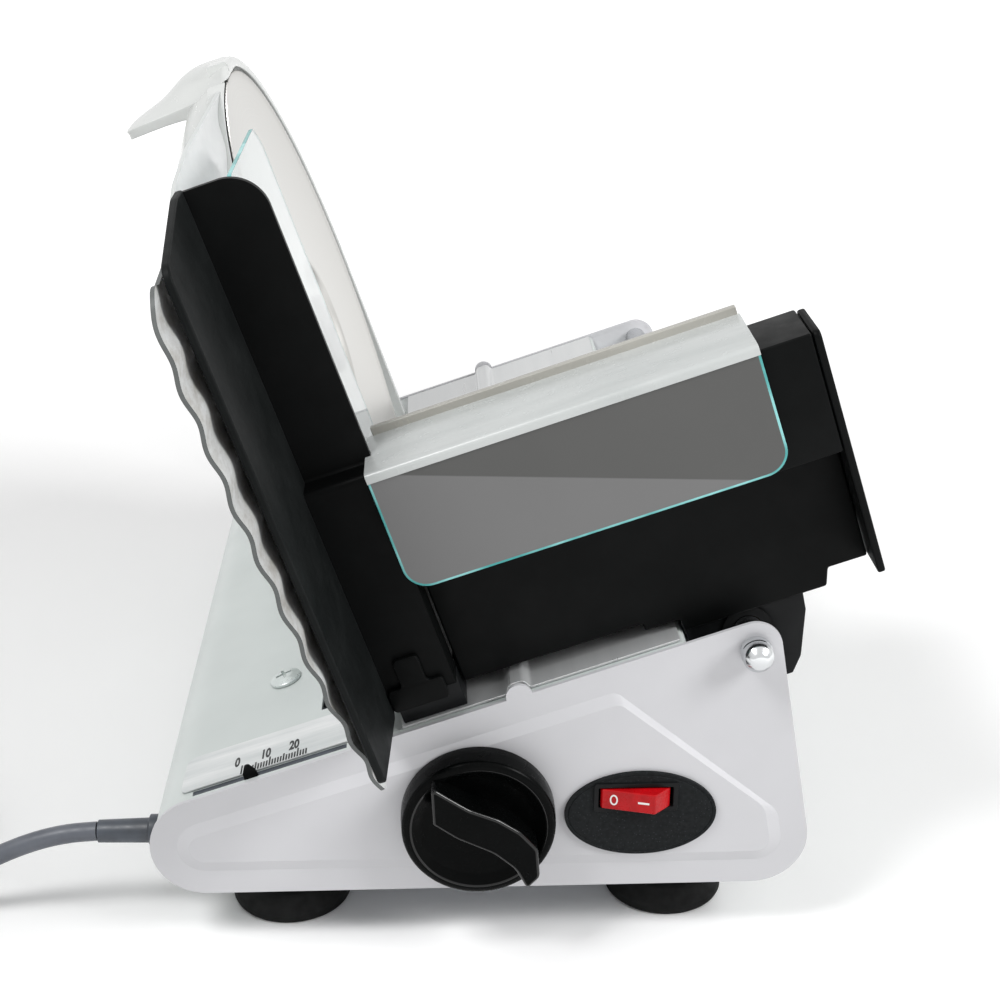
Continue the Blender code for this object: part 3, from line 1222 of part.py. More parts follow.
def tower_housing():
    """The arched shell behind the blade: a loft of arches that sink and close towards the left."""
    mesh = bpy.data.meshes.new("tower_housing")
    shape = bmesh.new()
    front = BLADE_PLANE + HOUSING_FRONT
    rings = []
    for row in HOUSING_SECTION_SHARES:
        a = front - HOUSING_DEPTH * row[0]
        rings.append([shape.verts.new((a, y, n)) for y, n in housing_section(row, trim=HOUSING_WALL)])
    closing = housing_section(HOUSING_SECTION_SHARES[-1], HOUSING_CAP, HOUSING_WALL)
    rings.append([shape.verts.new((front - HOUSING_DEPTH, y, n)) for y, n in closing])
    for first, second in zip(rings, rings[1:]):
        for i in range(len(first) - 1):
            shape.faces.new((first[i], first[i + 1], second[i + 1], second[i]))
    shape.faces.new(rings[-1])
    bmesh.ops.recalc_face_normals(shape, faces=shape.faces)
    shape.normal_update()
    if rings[0][HOUSING_STEPS // 2].link_faces[0].normal.z < 0:
        bmesh.ops.reverse_faces(shape, faces=shape.faces)
    shape.to_mesh(mesh)
    shape.free()
    shell = add("tower_housing", mesh, (0, 0, 0), WHITE_PLASTIC, SLOPE_FRAME)
    wall = shell.modifiers.new("wall", "SOLIDIFY")
    wall.thickness = HOUSING_WALL
    wall.offset = -1
    wall.use_even_offset = True
    foot = -COVER_INSET + GAP
    cut(shell, box("foot_trim", (front - HOUSING_DEPTH - OVERRUN, BLADE_Y - HOUSING_RADIUS, foot - HOUSING_WALL * 4),
                   (front + OVERRUN, BLADE_Y + HOUSING_RADIUS * 6 / 5, foot), None, SLOPE_FRAME))
    join(shell, beak_lug())


def beak_lug():
    """The lug on the housing's top, drawn out to a narrow beak that looks left and down."""
    thick = LUG_TOP - LUG_TIP_RISE
    outline = rounded([(LUG_FRONT, LUG_TOP, SHEET), (LUG_TIP + thick * 2, LUG_TOP, thick),
                       (LUG_TIP + SHEET * 2, LUG_TIP_RISE + SHEET * 2, SHEET), (LUG_TIP, LUG_TIP_RISE, SHEET / 2),
                       (LUG_TIP + SHEET / 2, LUG_TIP_RISE - SHEET * 2, SHEET / 2),
                       (LUG_TIP + thick * 2, LUG_TIP_RISE - SHEET, thick / 2),
                       (LUG_FRONT - thick, LUG_ROOT, 0), (LUG_FRONT - thick * 3 / 4, LUG_ROOT, 0),
                       (LUG_FRONT - thick * 2 / 3, LUG_TOP - thick * 2 / 3, 0), (LUG_FRONT, LUG_TOP - thick * 2 / 3, 0)])
    lug = plate("beak_lug", [outline], LUG_WIDTH, (0, BLADE_Y + LUG_WIDTH / 3, 0), None, SLOPE_FRAME, FRONT)
    for vertex in lug.data.vertices:
        share = min(max((vertex.co.x - LUG_TIP) / (LUG_FRONT - LUG_TIP), 0), 1)
        vertex.co.z *= (LUG_TIP_WIDTH + (LUG_WIDTH - LUG_TIP_WIDTH) * math.sqrt(share)) / LUG_WIDTH
    return lug


def housing_front_plate():
    """The plate that closes the housing behind the blade, with the boss that holds the shaft's bush."""
    low, high = BLADE_PLANE + FRONT_PLATE[0], BLADE_PLANE + FRONT_PLATE[1]
    outline = housing_section(HOUSING_SECTION_SHARES[0], HOUSING_WALL + RUNNING_GAP * 3)
    hole = circle((BLADE_Y, BLADE_RISE), BEARING_OUTER + GAP)
    wall = plate("housing_front_plate", [outline, hole], high - low, ((low + high) / 2, 0, 0), WHITE_STEEL,
                 SLOPE_FRAME, SIDE)
    boss = circle((BLADE_Y, BLADE_RISE), BOSS_RADIUS)
    join(wall, plate("bearing_boss", [boss, hole], BOSS_DEPTH, (high - BOSS_DEPTH / 2, 0, 0), None, SLOPE_FRAME,
                     SIDE))


def blade_bearing():
    high = FRONT_PLATE[1]
    profile = [(BEARING_SHAFT + GAP, high), (BEARING_OUTER, high), (BEARING_OUTER, high - BOSS_DEPTH),
               (BEARING_SHAFT + GAP, high - BOSS_DEPTH)]
    place = (BLADE_PLANE, BLADE_Y, BLADE_RISE)
    turned("blade_bearing", profile, place, BRONZE, SLOPE_FRAME, ALONG_X, ring=True)


def blade_guard():
    """The thin ring over the back of the blade, which comes straight down to the cover at the rear."""
    steps = FINE_TURN_STEPS // 2
    foot = -COVER_INSET + GAP
    centre = (BLADE_Y, BLADE_RISE)
    outline = arc(centre, GUARD_OUTER, GUARD_START, 0, steps)
    outline += [Vector((BLADE_Y + GUARD_OUTER, foot)), Vector((BLADE_Y + GUARD_INNER, foot))]
    outline += arc(centre, GUARD_INNER, 0, GUARD_START, steps)
    front, back, lip = BLADE_PLANE + GUARD_FRONT, BLADE_PLANE + GUARD_BACK, BLADE_PLANE + GUARD_LIP
    ring = plate("blade_guard", [outline], front - back, ((front + back) / 2, 0, 0), WHITE_PLASTIC, SLOPE_FRAME, SIDE)
    inner = HOUSING_RADIUS + GAP
    flange = arc(centre, (GUARD_INNER + GUARD_OUTER) / 2, GUARD_START, 0, steps) + arc(centre, inner, 0, GUARD_START, steps)
    join(ring, plate("guard_lip", [flange], lip - back, ((lip + back) / 2, 0, 0), None, SLOPE_FRAME, SIDE))


# Food carriage

WING_CLEARANCE = 0.0004
GUARD_WALL = 0.0025
GUARD_SHELF = 0.090
GUARD_TOP = 0.185
GUARD_SETBACK = 0.012
GUARD_CORNER = 0.018
WING_NEAR = -0.050
WING_TOP_NEAR = 0.178
WING_TOP = 0.187
WING_BOTTOM = 0.014
WING_FOOT = 0.008
CLIP_A = -0.02975
CLIP_HALF = 0.00425
CLIP_BAR_HALF = 0.0094
CLIP_TOP = 0.0275
CLIP_BAR = (0.0095, 0.0175)
CLIP_THICKNESS = 0.0017
WALL_STEP = 0.048
WALL_SETBACK = 0.012
SKIRT_HIGH = 0.0056
SKIRT_MIDDLE = 0.0030
SKIRT_LOW = -0.0014
SKIRT_STEP = 0.0450
SKIRT_LOW_END = 0.1054
SKIRT_END = 0.0048
END_PLATE_LOW = 0.024
END_PLATE_SHOULDER = 0.048
END_PLATE_KNEE = 0.034
END_PLATE_FOOT = 0.004
SHOE_Y = (0.006, 0.126)
BLOCK_LENGTH = 0.040
BLOCK_FRONT = 0.015
BLOCK_SPACING = 0.080
BLOCK_RIGHT = 0.099
BLOCK_HEEL = 0.0912
BLOCK_HEEL_N = -0.025
BLOCK_HOOK = 0.0305
BLOCK_HOOK_WIDTH = 0.0020
BUSH_OUTER = 0.0070
BLOCK_CLEARANCE = 0.0008


def carriage_left():
    return BLADE_PLANE + WING_CLEARANCE


def hand_guard():
    """The guard on the left of the carriage, with a tall set-back part and a wing beside the blade."""
    left = carriage_left()
    right = GUARD_RIGHT
    wall = GUARD_WALL
    wing = rounded([(WING_NEAR, WING_BOTTOM, wall), (-wall, WING_FOOT, 0),
                    (GUARD_SETBACK - GAP, TABLE_UNDERSIDE - GAP * 2, 0),
                    (GUARD_SETBACK - GAP, WING_TOP, wall), (0, WING_TOP, GUARD_SETBACK),
                    (WING_NEAR, WING_TOP_NEAR, GUARD_SETBACK / 2)])
    guard = plate("hand_guard", [wing], wall, (left + wall / 2, 0, 0), BLACK_PLASTIC, CARRIAGE_FRAME, SIDE)
    path = [Vector(point) for point in ((GUARD_SETBACK, TABLE_UNDERSIDE), (0, TABLE_UNDERSIDE), (0, GUARD_SHELF),
                                        (GUARD_SETBACK - wall, GUARD_SHELF), (GUARD_SETBACK - wall, GUARD_TOP))]
    start = left + wall / 2
    skin = plate("guard_skin", [folded(path, wall)], right - start, ((start + right) / 2, 0, 0), None,
                 CARRIAGE_FRAME, SIDE)
    centre = (right - GUARD_CORNER, GUARD_TOP - GUARD_CORNER)
    corner = [Vector((centre[0], GUARD_TOP + OVERRUN)), Vector((right + OVERRUN, GUARD_TOP + OVERRUN)),
              Vector((right + OVERRUN, centre[1]))] + arc(centre, GUARD_CORNER, 0, 90, ARC_STEPS)
    cut(skin, plate("guard_corner", [corner], GUARD_SETBACK * 2, (0, GUARD_SETBACK, 0), None, CARRIAGE_FRAME, FRONT))
    join(guard, skin)


def guard_clip():
    low, high = CLIP_BAR
    outline = rounded([(CLIP_A - CLIP_BAR_HALF, low, SHEET), (CLIP_A + CLIP_BAR_HALF, low, SHEET),
                       (CLIP_A + CLIP_BAR_HALF, high, SHEET), (CLIP_A + CLIP_HALF, high, SHEET),
                       (CLIP_A + CLIP_HALF, CLIP_TOP, SHEET), (CLIP_A - CLIP_HALF, CLIP_TOP, SHEET),
                       (CLIP_A - CLIP_HALF, high, SHEET), (CLIP_A - CLIP_BAR_HALF, high, SHEET)])
    plate("guard_clip", [outline], CLIP_THICKNESS, (0, -GAP - CLIP_THICKNESS / 2, 0), BLACK_PLASTIC, CARRIAGE_FRAME,
          FRONT)


def carriage_wall():
    """The folded black wall that the operator pushes, with a stepped skirt over the rod channel."""
    left = GUARD_RIGHT + GAP * 2
    right = TABLE_RIGHT
    path = [Vector(point) for point in ((WALL_SETBACK, TABLE_UNDERSIDE), (WALL_SETBACK, WALL_STEP), (0, WALL_STEP),
                                        (0, WALL_TOP), (WALL_DEPTH, WALL_TOP), (WALL_DEPTH, TABLE_UNDERSIDE))]
    wall = plate("carriage_wall", [folded(path, BLACK_WALL)], right - left, ((left + right) / 2, 0, 0),
                 BLACK_PLASTIC, CARRIAGE_FRAME, SIDE)
    channel = CHANNEL_A + RUNNING_GAP
    top = TABLE_UNDERSIDE + BLACK_WALL
    skirt = [(left, SKIRT_HIGH), (SKIRT_STEP, SKIRT_HIGH), (SKIRT_STEP, SKIRT_MIDDLE), (channel, SKIRT_MIDDLE),
             (channel, SKIRT_LOW), (SKIRT_LOW_END, SKIRT_LOW), (SKIRT_LOW_END + RUNNING_GAP * 4, SKIRT_END),
             (right, SKIRT_END), (right, top), (left, top)]
    join(wall, plate("wall_skirt", [[Vector(point) for point in skirt]], BLACK_WALL,
                     (0, WALL_SETBACK + BLACK_WALL / 2, 0), None, CARRIAGE_FRAME, FRONT))


def end_plate():
    start = TABLE_RIGHT + GAP
    outline = rounded([(0, END_PLATE_FOOT, 0), (WALL_DEPTH, END_PLATE_FOOT, BLACK_WALL),
                       (END_PLATE_SHOULDER, TABLE_UNDERSIDE, BLACK_WALL), (TABLE_LENGTH, TABLE_UNDERSIDE, BLACK_WALL),
                       (TABLE_LENGTH, END_PLATE_LOW, BLACK_WALL * 2), (END_PLATE_SHOULDER, END_PLATE_KNEE, WALL_DEPTH / 2),
                       (WALL_DEPTH, WALL_TOP - LIP_DEPTH - BLACK_WALL, BLACK_WALL), (WALL_DEPTH, WALL_TOP, BLACK_WALL),
                       (0, WALL_TOP, BLACK_WALL)])
    plate("carriage_end_plate", [outline], WING_PLATE, (start + WING_PLATE / 2, 0, 0), BLACK_PLASTIC, CARRIAGE_FRAME,
          SIDE)


def food_table():
    left = carriage_left() + GUARD_WALL + GAP
    notch = GUARD_RIGHT + GAP
    near, far = GUARD_SETBACK + GAP, WALL_DEPTH + GAP
    outline = rounded([(left, near, 0), (notch, near, 0), (notch, far, 0), (TABLE_RIGHT, far, 0),
                       (TABLE_RIGHT, TABLE_LENGTH, TABLE_THICKNESS), (left, TABLE_LENGTH, TABLE_THICKNESS)])
    plate("food_table", [outline], TABLE_THICKNESS, (0, 0, TABLE_UNDERSIDE + TABLE_THICKNESS / 2), BLACK_PLASTIC,
          CARRIAGE_FRAME)


def slide_shoe():
    under = -COVER_INSET + GAP + TRACK_THICKNESS + GAP
    box("slide_shoe", (carriage_left() + GUARD_WALL + GAP, SHOE_Y[0], under),
        (GUARD_RIGHT, SHOE_Y[1], TABLE_UNDERSIDE - GAP), DARK_PLASTIC, CARRIAGE_FRAME, round_edge=GAP)


def rod_slope_place():
    place = rod_place()
    return sloped(place.x, place.y)


def slide_block(name, start):
    """A block on the slide rod, whose hook reaches round the edge of the base."""
    left = CHANNEL_A + BLOCK_CLEARANCE
    bottom = -CHANNEL_DEPTH + BLOCK_CLEARANCE
    a, n = rod_slope_place()
    top = TABLE_UNDERSIDE - GAP
    hook = -BLOCK_HOOK
    inner = a + ROD_RADIUS + GAP * 10
    outline = rounded([(left, bottom, 0), (inner, bottom, 0), (inner - GAP, hook, 0), (inner + BLOCK_HOOK_WIDTH, hook, 0),
                       (BLOCK_HEEL, BLOCK_HEEL_N, BLOCK_HOOK_WIDTH * 2), (BLOCK_RIGHT - BLOCK_HOOK_WIDTH, n, 0),
                       (BLOCK_RIGHT, top, 0), (left, top, 0)])
    plate(name, [outline, circle((a, n), BUSH_OUTER + GAP)], BLOCK_LENGTH, (0, start + BLOCK_LENGTH / 2, 0),
          DARK_PLASTIC, CARRIAGE_FRAME, FRONT)


def slide_bushes():
    """Two bronze bushes that run on the slide rod."""
    a, n = rod_slope_place()
    inner = ROD_RADIUS + GAP
    profile = [(inner, BLOCK_LENGTH), (BUSH_OUTER, BLOCK_LENGTH), (BUSH_OUTER, 0), (inner, 0)]
    for name, start in (("slide_bush_front", BLOCK_FRONT), ("slide_bush_rear", BLOCK_FRONT + BLOCK_SPACING)):
        turned(name, profile, (a, start, n), BRONZE, CARRIAGE_FRAME, ALONG_Y, ring=True)


# Food pusher

CLEAR_SHEET = 0.003
PANEL_BOTTOM = 0.047
PUSHER_LEFT = -0.019
PUSHER_RIGHT = 0.104
PANEL_CLEARANCE = 0.002
LEDGE_REACH = -0.0252
LIP_DEPTH = 0.010
PRESS_FAR = 0.095
PRESS_TOP = 0.178
PRESS_PEAK = 0.185
PRESS_THICKNESS = 0.0025
PRESS_CLEARANCE = 0.0026


def pusher_saddle():
    """The clear panel folded over the wall: it hangs in front, lies on the top and hooks behind."""
    front = -PANEL_CLEARANCE - CLEAR_SHEET
    top = WALL_TOP + GAP + CLEAR_SHEET
    back = WALL_DEPTH + RUNNING_GAP * 2 + CLEAR_SHEET
    path = [Vector(point) for point in ((front, PANEL_BOTTOM), (front, top), (back, top),
                                        (back, top - CLEAR_SHEET - LIP_DEPTH))]
    saddle = plate("pusher_saddle", [folded(path, CLEAR_SHEET)], PUSHER_RIGHT - LEDGE_REACH,
                   ((PUSHER_RIGHT + LEDGE_REACH) / 2, 0, 0), CLEAR_ACRYLIC, PUSHER_FRAME, SIDE)
    ledge = GUARD_SETBACK + RUNNING_GAP * 2
    guard_side = GUARD_RIGHT + RUNNING_GAP
    over = OVERRUN
    cut(saddle, box("panel_trim", (LEDGE_REACH - over, front - over, PANEL_BOTTOM - over),
                    (PUSHER_LEFT, -PANEL_CLEARANCE + GAP, top + over), None, PUSHER_FRAME))
    cut(saddle, box("ledge_notch", (LEDGE_REACH - over, -PANEL_CLEARANCE - GAP, top - CLEAR_SHEET - over),
                    (guard_side, ledge, top + over), None, PUSHER_FRAME))
    radius = PANEL_BOTTOM / 6
    for number, (corner, side) in enumerate(((PUSHER_LEFT, 1), (PUSHER_RIGHT, -1)), 1):
        centre = (corner + side * radius, PANEL_BOTTOM + radius)
        sweep = arc(centre, radius, 270, 180 if side > 0 else 360, ARC_STEPS)
        corner_cut = [Vector((corner - side * over, PANEL_BOTTOM - over)), Vector((centre[0], PANEL_BOTTOM - over))]
        corner_cut += sweep + [Vector((corner - side * over, centre[1]))]
        cut(saddle, plate(f"panel_corner_{number}", [corner_cut], CLEAR_SHEET * 2,
                          (0, front + CLEAR_SHEET / 2, 0), None, PUSHER_FRAME, FRONT))


def pusher_press_plate():
    back = WALL_DEPTH + RUNNING_GAP * 2 + GAP
    ledge = GUARD_SETBACK + RUNNING_GAP * 2
    floor = TABLE_UNDERSIDE + TABLE_THICKNESS + PRESS_CLEARANCE
    step = WALL_TOP + PRESS_THICKNESS + RUNNING_GAP * 2
    corner = PRESS_PEAK - PRESS_TOP
    outline = rounded([(back, floor, 0), (PRESS_FAR, floor, corner / 2), (PRESS_FAR, PRESS_TOP, corner),
                       (PRESS_FAR - corner, PRESS_PEAK, corner / 2), (ledge, PRESS_PEAK, corner), (ledge, step, 0),
                       (back, step, 0)])
    plate("pusher_press_plate", [outline], PRESS_THICKNESS, (LEDGE_REACH - GAP - PRESS_THICKNESS / 2, 0, 0),
          CLEAR_ACRYLIC, PUSHER_FRAME, SIDE)


# Mains cord with its gland, coil and plug

GLAND_FLANGE = 0.003
GLAND_SLEEVE = 0.018
GLAND_TIP = 0.0038
CORD_START = -0.1320
COIL_X = -0.230
COIL_INNER = 0.0240
COIL_PITCH = 0.0071
COIL_TURNS = 5.25
COIL_LOOP_POINTS = 24
CORD_FLOOR = 0.0034
CORD_TAIL = 0.038
PLUG_LENGTH = 0.036
PLUG_HALF_WIDTH = 0.0170
PLUG_HALF_HEIGHT = 0.0100
PLUG_PIN_RADIUS = 0.0024
PLUG_PIN_LENGTH = 0.019
PLUG_PIN_SPREAD = 0.0095
PLUG_NECK = 0.0055


def cord_gland():
    """The black gland in the nose, with a tapered sleeve round the cord; it is hollow for the cord."""
    wall_x = NOSE_X - math.sqrt(NOSE_RADIUS ** 2 - (FOOT_HEIGHT + NOSE_RADIUS - MAINS_HEIGHT) ** 2)
    seat = -wall_x + GAP
    tip = -CORD_START - GAP
    neck = GLAND_RADIUS - SHEET
    inside = seat - SHEET * 4
    bore = CORD_RADIUS + GAP / 2
    profile = [(bore, tip), (GLAND_TIP, tip), (neck + GAP, seat + GLAND_FLANGE), (GLAND_RADIUS, seat + GLAND_FLANGE),
               (GLAND_RADIUS, seat), (neck, seat), (neck, inside), (bore, inside)]
    turned("cord_gland", profile, (0, MAINS_Y, MAINS_HEIGHT), BLACK_RUBBER, BASE_FRAME, (0, -QUARTER, 0), ring=True)


def cord_curve(name, points):
    curve = bpy.data.curves.new(name, "CURVE")
    curve.dimensions = "3D"
    curve.bevel_depth = CORD_RADIUS - GAP / 6
    curve.bevel_resolution = 1
    curve.use_fill_caps = True
    spline = curve.splines.new("POLY")
    spline.points.add(len(points) - 1)
    for point, place in zip(spline.points, points):
        point.co = (*place, 1)
    curve.materials.append(GREY_CORD)
    cord = bpy.data.objects.new(name, curve)
    PARTS.objects.link(cord)
    cord.parent = BASE_FRAME
    weld = cord.modifiers.new("weld_caps", "WELD")
    weld.merge_threshold = WELD
    return cord


def coil_start():
    """The outer end of the coil, in line with the gland."""
    outer = COIL_INNER + COIL_PITCH * COIL_TURNS / 2
    return Vector((COIL_X, MAINS_Y, CORD_FLOOR)), outer


def cord_lead():
    first = Vector((CORD_START, MAINS_Y, MAINS_HEIGHT))
    start, _ = coil_start()
    last = start + Vector((CORD_RADIUS * 2 + GAP, 0, 0))
    reach = Vector(((first.x - last.x) * 2 / 5, 0, 0))
    steps = 9
    points = []
    for step in range(steps + 1):
        t = step / steps
        points.append(first * (1 - t) ** 3 + (first - reach) * 3 * t * (1 - t) ** 2
                      + (last + reach) * 3 * t * t * (1 - t) + last * t ** 3)
    cord_curve("cord_lead", points)


def cord_coil():
    """The spare cord: it spirals in on the table, climbs one layer and spirals out again."""
    start, outer = coil_start()
    centre = start + Vector((0, outer, 0))
    half = COIL_TURNS / 2
    straight = CORD_RADIUS * 2
    points = [start + Vector((straight, 0, 0))]
    count = round(COIL_TURNS * COIL_LOOP_POINTS)
    for step in range(count + 1):
        turns = COIL_TURNS * step / count
        radius = COIL_INNER + COIL_PITCH * abs(turns - half)
        climb = min(max((turns - half) * 2 + 0.5, 0), 1)
        angle = -QUARTER - 2 * math.pi * turns
        points.append(centre + Vector((radius * math.cos(angle), radius * math.sin(angle), COIL_PITCH * climb)))
    points.append(points[-1] + Vector((0, straight, 0)))
    least = min((points[i] - points[j]).length for i in range(len(points))
                for j in range(i + COIL_LOOP_POINTS // 2, len(points)))
    print(f"cord_coil: least gap to itself {(least - CORD_RADIUS * 2) * 1000:.2f} mm")
    cord_curve("cord_coil", points)
    return points[-1]


def cord_plug(place):
    """A two-pin plug that lies on the table at the end of the cord."""
    frame = empty("plug_frame", place + Vector((0, GAP, 0)), BASE_FRAME)
    neck_length = PLUG_NECK * 3
    body_start = CORD_TAIL
    body_end = body_start + PLUG_LENGTH
    neck = PLUG_NECK
    wide = PLUG_HALF_WIDTH
    outline = rounded([(-neck, body_start, 0), (neck, body_start, 0), (wide, body_start + PLUG_LENGTH / 2, neck),
                       (wide, body_end, SHEET), (-wide, body_end, SHEET), (-wide, body_start + PLUG_LENGTH / 2, neck)])
    plug = plate("cord_plug", [outline], PLUG_HALF_HEIGHT * 2, (0, 0, 0), BLACK_RUBBER, frame)
    join(plug, turned("plug_neck", [(0, neck_length), (PLUG_NECK, neck_length), (CORD_RADIUS + SHEET / 2, 0), (0, 0)],
                      (0, body_start - neck_length + SHEET, 0), None, frame, ALONG_Y, steps=ARC_STEPS * 3))
    join(plug, rod("plug_tail", CORD_RADIUS - GAP / 6, (0, 0, 0), (0, body_start - neck_length + SHEET * 2, 0), None, frame,
                   steps=ARC_STEPS))
    for side in (-1, 1):
        join(plug, rod(f"plug_pin_{side + 2}", PLUG_PIN_RADIUS, (side * PLUG_PIN_SPREAD, body_end - SHEET, 0),
                       (side * PLUG_PIN_SPREAD, body_end + PLUG_PIN_LENGTH, 0), None, frame, steps=ARC_STEPS * 2))


def main():
    front_panel()
    back_panel()
    top_cover()
    track_plate()
    scale_plate()
    bottom_plate()
    feet()
    slide_rod()
    rod_nuts()
    knob()
    knob_shaft()
    knob_bush()
    knob_bracket()
    bracket_screws()
    switch_plate()
    switch_body()
    rocker()
    fence_plate()
    fence_bracket()
    fence_slider()
    guide_rods()
    rod_hangers()
    cover_screw()
    pointer()
    blade()
    lock_knob()
    blade_shaft()
    worm_wheel()
    rotor()
    motor_can()
    motor_end_cap()
    motor_bracket()
    tower_housing()
    housing_front_plate()
    blade_bearing()
    blade_guard()
    hand_guard()
    guard_clip()
    carriage_wall()
    end_plate()
    food_table()
    slide_shoe()
    slide_block("slide_block_front", BLOCK_FRONT)
    slide_block("slide_block_rear", BLOCK_FRONT + BLOCK_SPACING)
    slide_bushes()
    pusher_saddle()
    pusher_press_plate()
    cord_gland()
    cord_lead()
    cord_plug(cord_coil())


if __name__ == "__main__":
    main()
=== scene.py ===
"""The looks of an electric meat slicer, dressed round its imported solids: pressed white steel base,
black moulded carriage with a clear pusher, tilted serrated blade, ribbed fence, knob and red rocker.

Shapes are drawn in millimetres in the frame that suits them, and then settled into the slicer in metres.
"""
import math

import bmesh
import bpy
from mathutils import Matrix, Vector


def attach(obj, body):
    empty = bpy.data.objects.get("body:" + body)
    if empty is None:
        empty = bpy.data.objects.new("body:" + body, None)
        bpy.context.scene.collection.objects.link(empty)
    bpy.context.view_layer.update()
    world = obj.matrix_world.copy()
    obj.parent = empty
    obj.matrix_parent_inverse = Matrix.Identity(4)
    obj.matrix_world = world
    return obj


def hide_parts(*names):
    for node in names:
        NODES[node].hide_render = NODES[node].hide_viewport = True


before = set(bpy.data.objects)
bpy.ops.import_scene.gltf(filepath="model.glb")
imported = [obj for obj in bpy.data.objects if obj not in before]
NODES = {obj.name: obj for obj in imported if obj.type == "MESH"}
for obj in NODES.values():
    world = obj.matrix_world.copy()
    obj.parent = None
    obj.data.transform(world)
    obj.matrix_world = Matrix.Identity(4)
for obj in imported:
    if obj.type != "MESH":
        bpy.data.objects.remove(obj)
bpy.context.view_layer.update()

MM = 0.001
SLOPE = math.radians(19.0)
# Where the sloping top starts, in the base's own frame
SLOPE_X, SLOPE_Z = 11.819, 93.986
# How far the right side leans inwards
LEAN = math.tan(math.radians(10.7))

# Frames of the slicer: the level base, the slope of its top, and the blade's axis
BASE = Matrix.Translation((0.0022842, -0.1401, 0))
SLOPED = BASE @ Matrix.Translation((SLOPE_X * MM, 0, SLOPE_Z * MM)) @ Matrix.Rotation(-SLOPE, 4, "Y")
BLADE_MIDDLE = SLOPED @ Matrix.Translation((-0.0424, 0.190, 0.082))
BLADE = BLADE_MIDDLE @ Matrix.Rotation(math.pi / 2, 4, "Y")

# Drawing planes within a frame: X and Y of the drawing go to X and Z, or to Y and Z, of the frame
UPRIGHT = Matrix.Rotation(math.pi / 2, 4, "X")
ASIDE = Matrix(((0, 0, 1, 0), (1, 0, 0, 0), (0, 1, 0, 0), (0, 0, 0, 1)))
ALONG_Y = Matrix.Rotation(-math.pi / 2, 4, "X")


# Camera at the photograph's angle

def camera():
    """A 60 mm lens that looks down on the slicer from the front, as in the photograph."""
    yaw, pitch, roll = math.radians(2.69), math.radians(23.34), math.radians(0.37)
    ahead = Vector((math.sin(yaw) * math.cos(pitch), math.cos(yaw) * math.cos(pitch), -math.sin(pitch)))
    right = Vector((math.cos(yaw), -math.sin(yaw), 0))
    up = right.cross(ahead)
    across = right * math.cos(roll) + up * math.sin(roll)
    above = up * math.cos(roll) - right * math.sin(roll)
    lens = bpy.data.cameras.new("camera")
    lens.sensor_width = 36
    lens.lens = 60.4
    lens.clip_start = 0.01
    lens.clip_end = 20
    eye = bpy.data.objects.new("camera", lens)
    turn = Matrix((across, above, -ahead)).transposed().to_4x4()
    eye.matrix_world = Matrix.Translation((-0.01475, -0.61087, 0.36731)) @ turn
    bpy.context.scene.collection.objects.link(eye)
    bpy.context.scene.camera = eye


# Colours and nodes

def linear(code):
    """A colour as the eye reads it, such as 9FA4A6, as the linear light that a shader takes."""
    channels = [int(code[i:i + 2], 16) / 255 for i in (0, 2, 4)]
    return (*[c / 12.92 if c <= 0.04045 else ((c + 0.055) / 1.055) ** 2.4 for c in channels], 1)


def add_node(tree, kind, values=None, links=None, **settings):
    """A node of one kind, with its settings, the values of its sockets and the links into them."""
    node = tree.nodes.new(kind)
    for name, setting in settings.items():
        setattr(node, name, setting)
    for socket, value in (values or {}).items():
        node.inputs[socket].default_value = value
    for socket, source in (links or {}).items():
        tree.links.new(source, node.inputs[socket])
    return node


def start_finish(name, colour, roughness, metallic=0.0, **sockets):
    """A material with its shader set, and its place on the object in millimetres."""
    material = bpy.data.materials.new(name)
    material.use_nodes = True
    tree = material.node_tree
    shader = tree.nodes["Principled BSDF"]
    shader.inputs["Base Color"].default_value = linear(colour)
    shader.inputs["Roughness"].default_value = roughness
    shader.inputs["Metallic"].default_value = metallic
    for socket, value in sockets.items():
        shader.inputs[socket.replace("_", " ")].default_value = value
    place = add_node(tree, "ShaderNodeTexCoord")
    millimetres = add_node(tree, "ShaderNodeMapping", {"Scale": (1 / MM,) * 3},
                           {"Vector": place.outputs["Object"]})
    return material, tree, shader, millimetres.outputs["Vector"]


def noise(tree, place, size, detail=2.0, roughness=0.5, stretch=(1, 1, 1), turn=(0, 0, 0)):
    """Noise whose patches are about size millimetres wide."""
    turned = add_node(tree, "ShaderNodeMapping", {"Scale": stretch, "Rotation": turn}, {"Vector": place})
    return add_node(tree, "ShaderNodeTexNoise", {"Scale": 1 / size, "Detail": detail, "Roughness": roughness},
                    {"Vector": turned.outputs["Vector"]}).outputs["Fac"]


def spread(tree, value, low, high, start=0.3, end=0.7):
    """The value from start to end, spread from low to high."""
    return add_node(tree, "ShaderNodeMapRange", {"From Min": start, "From Max": end, "To Min": low,
                                                 "To Max": high}, {"Value": value}).outputs["Result"]


def tint(tree, amount, first, second):
    """A colour between two, each a code or another node's output."""
    mix = add_node(tree, "ShaderNodeMix", data_type="RGBA")
    tree.links.new(amount, mix.inputs["Factor"])
    for socket, colour in ((6, first), (7, second)):
        if isinstance(colour, str):
            mix.inputs[socket].default_value = linear(colour)
        else:
            tree.links.new(colour, mix.inputs[socket])
    return mix.outputs[2]


def combined(tree, first, second, operation):
    """Two values multiplied, or the greater of them."""
    return add_node(tree, "ShaderNodeMath", links={0: first, 1: second}, operation=operation).outputs[0]


def length_of(tree, place):
    """How far a place is from the middle of its frame."""
    return add_node(tree, "ShaderNodeVectorMath", links={0: place}, operation="LENGTH").outputs["Value"]


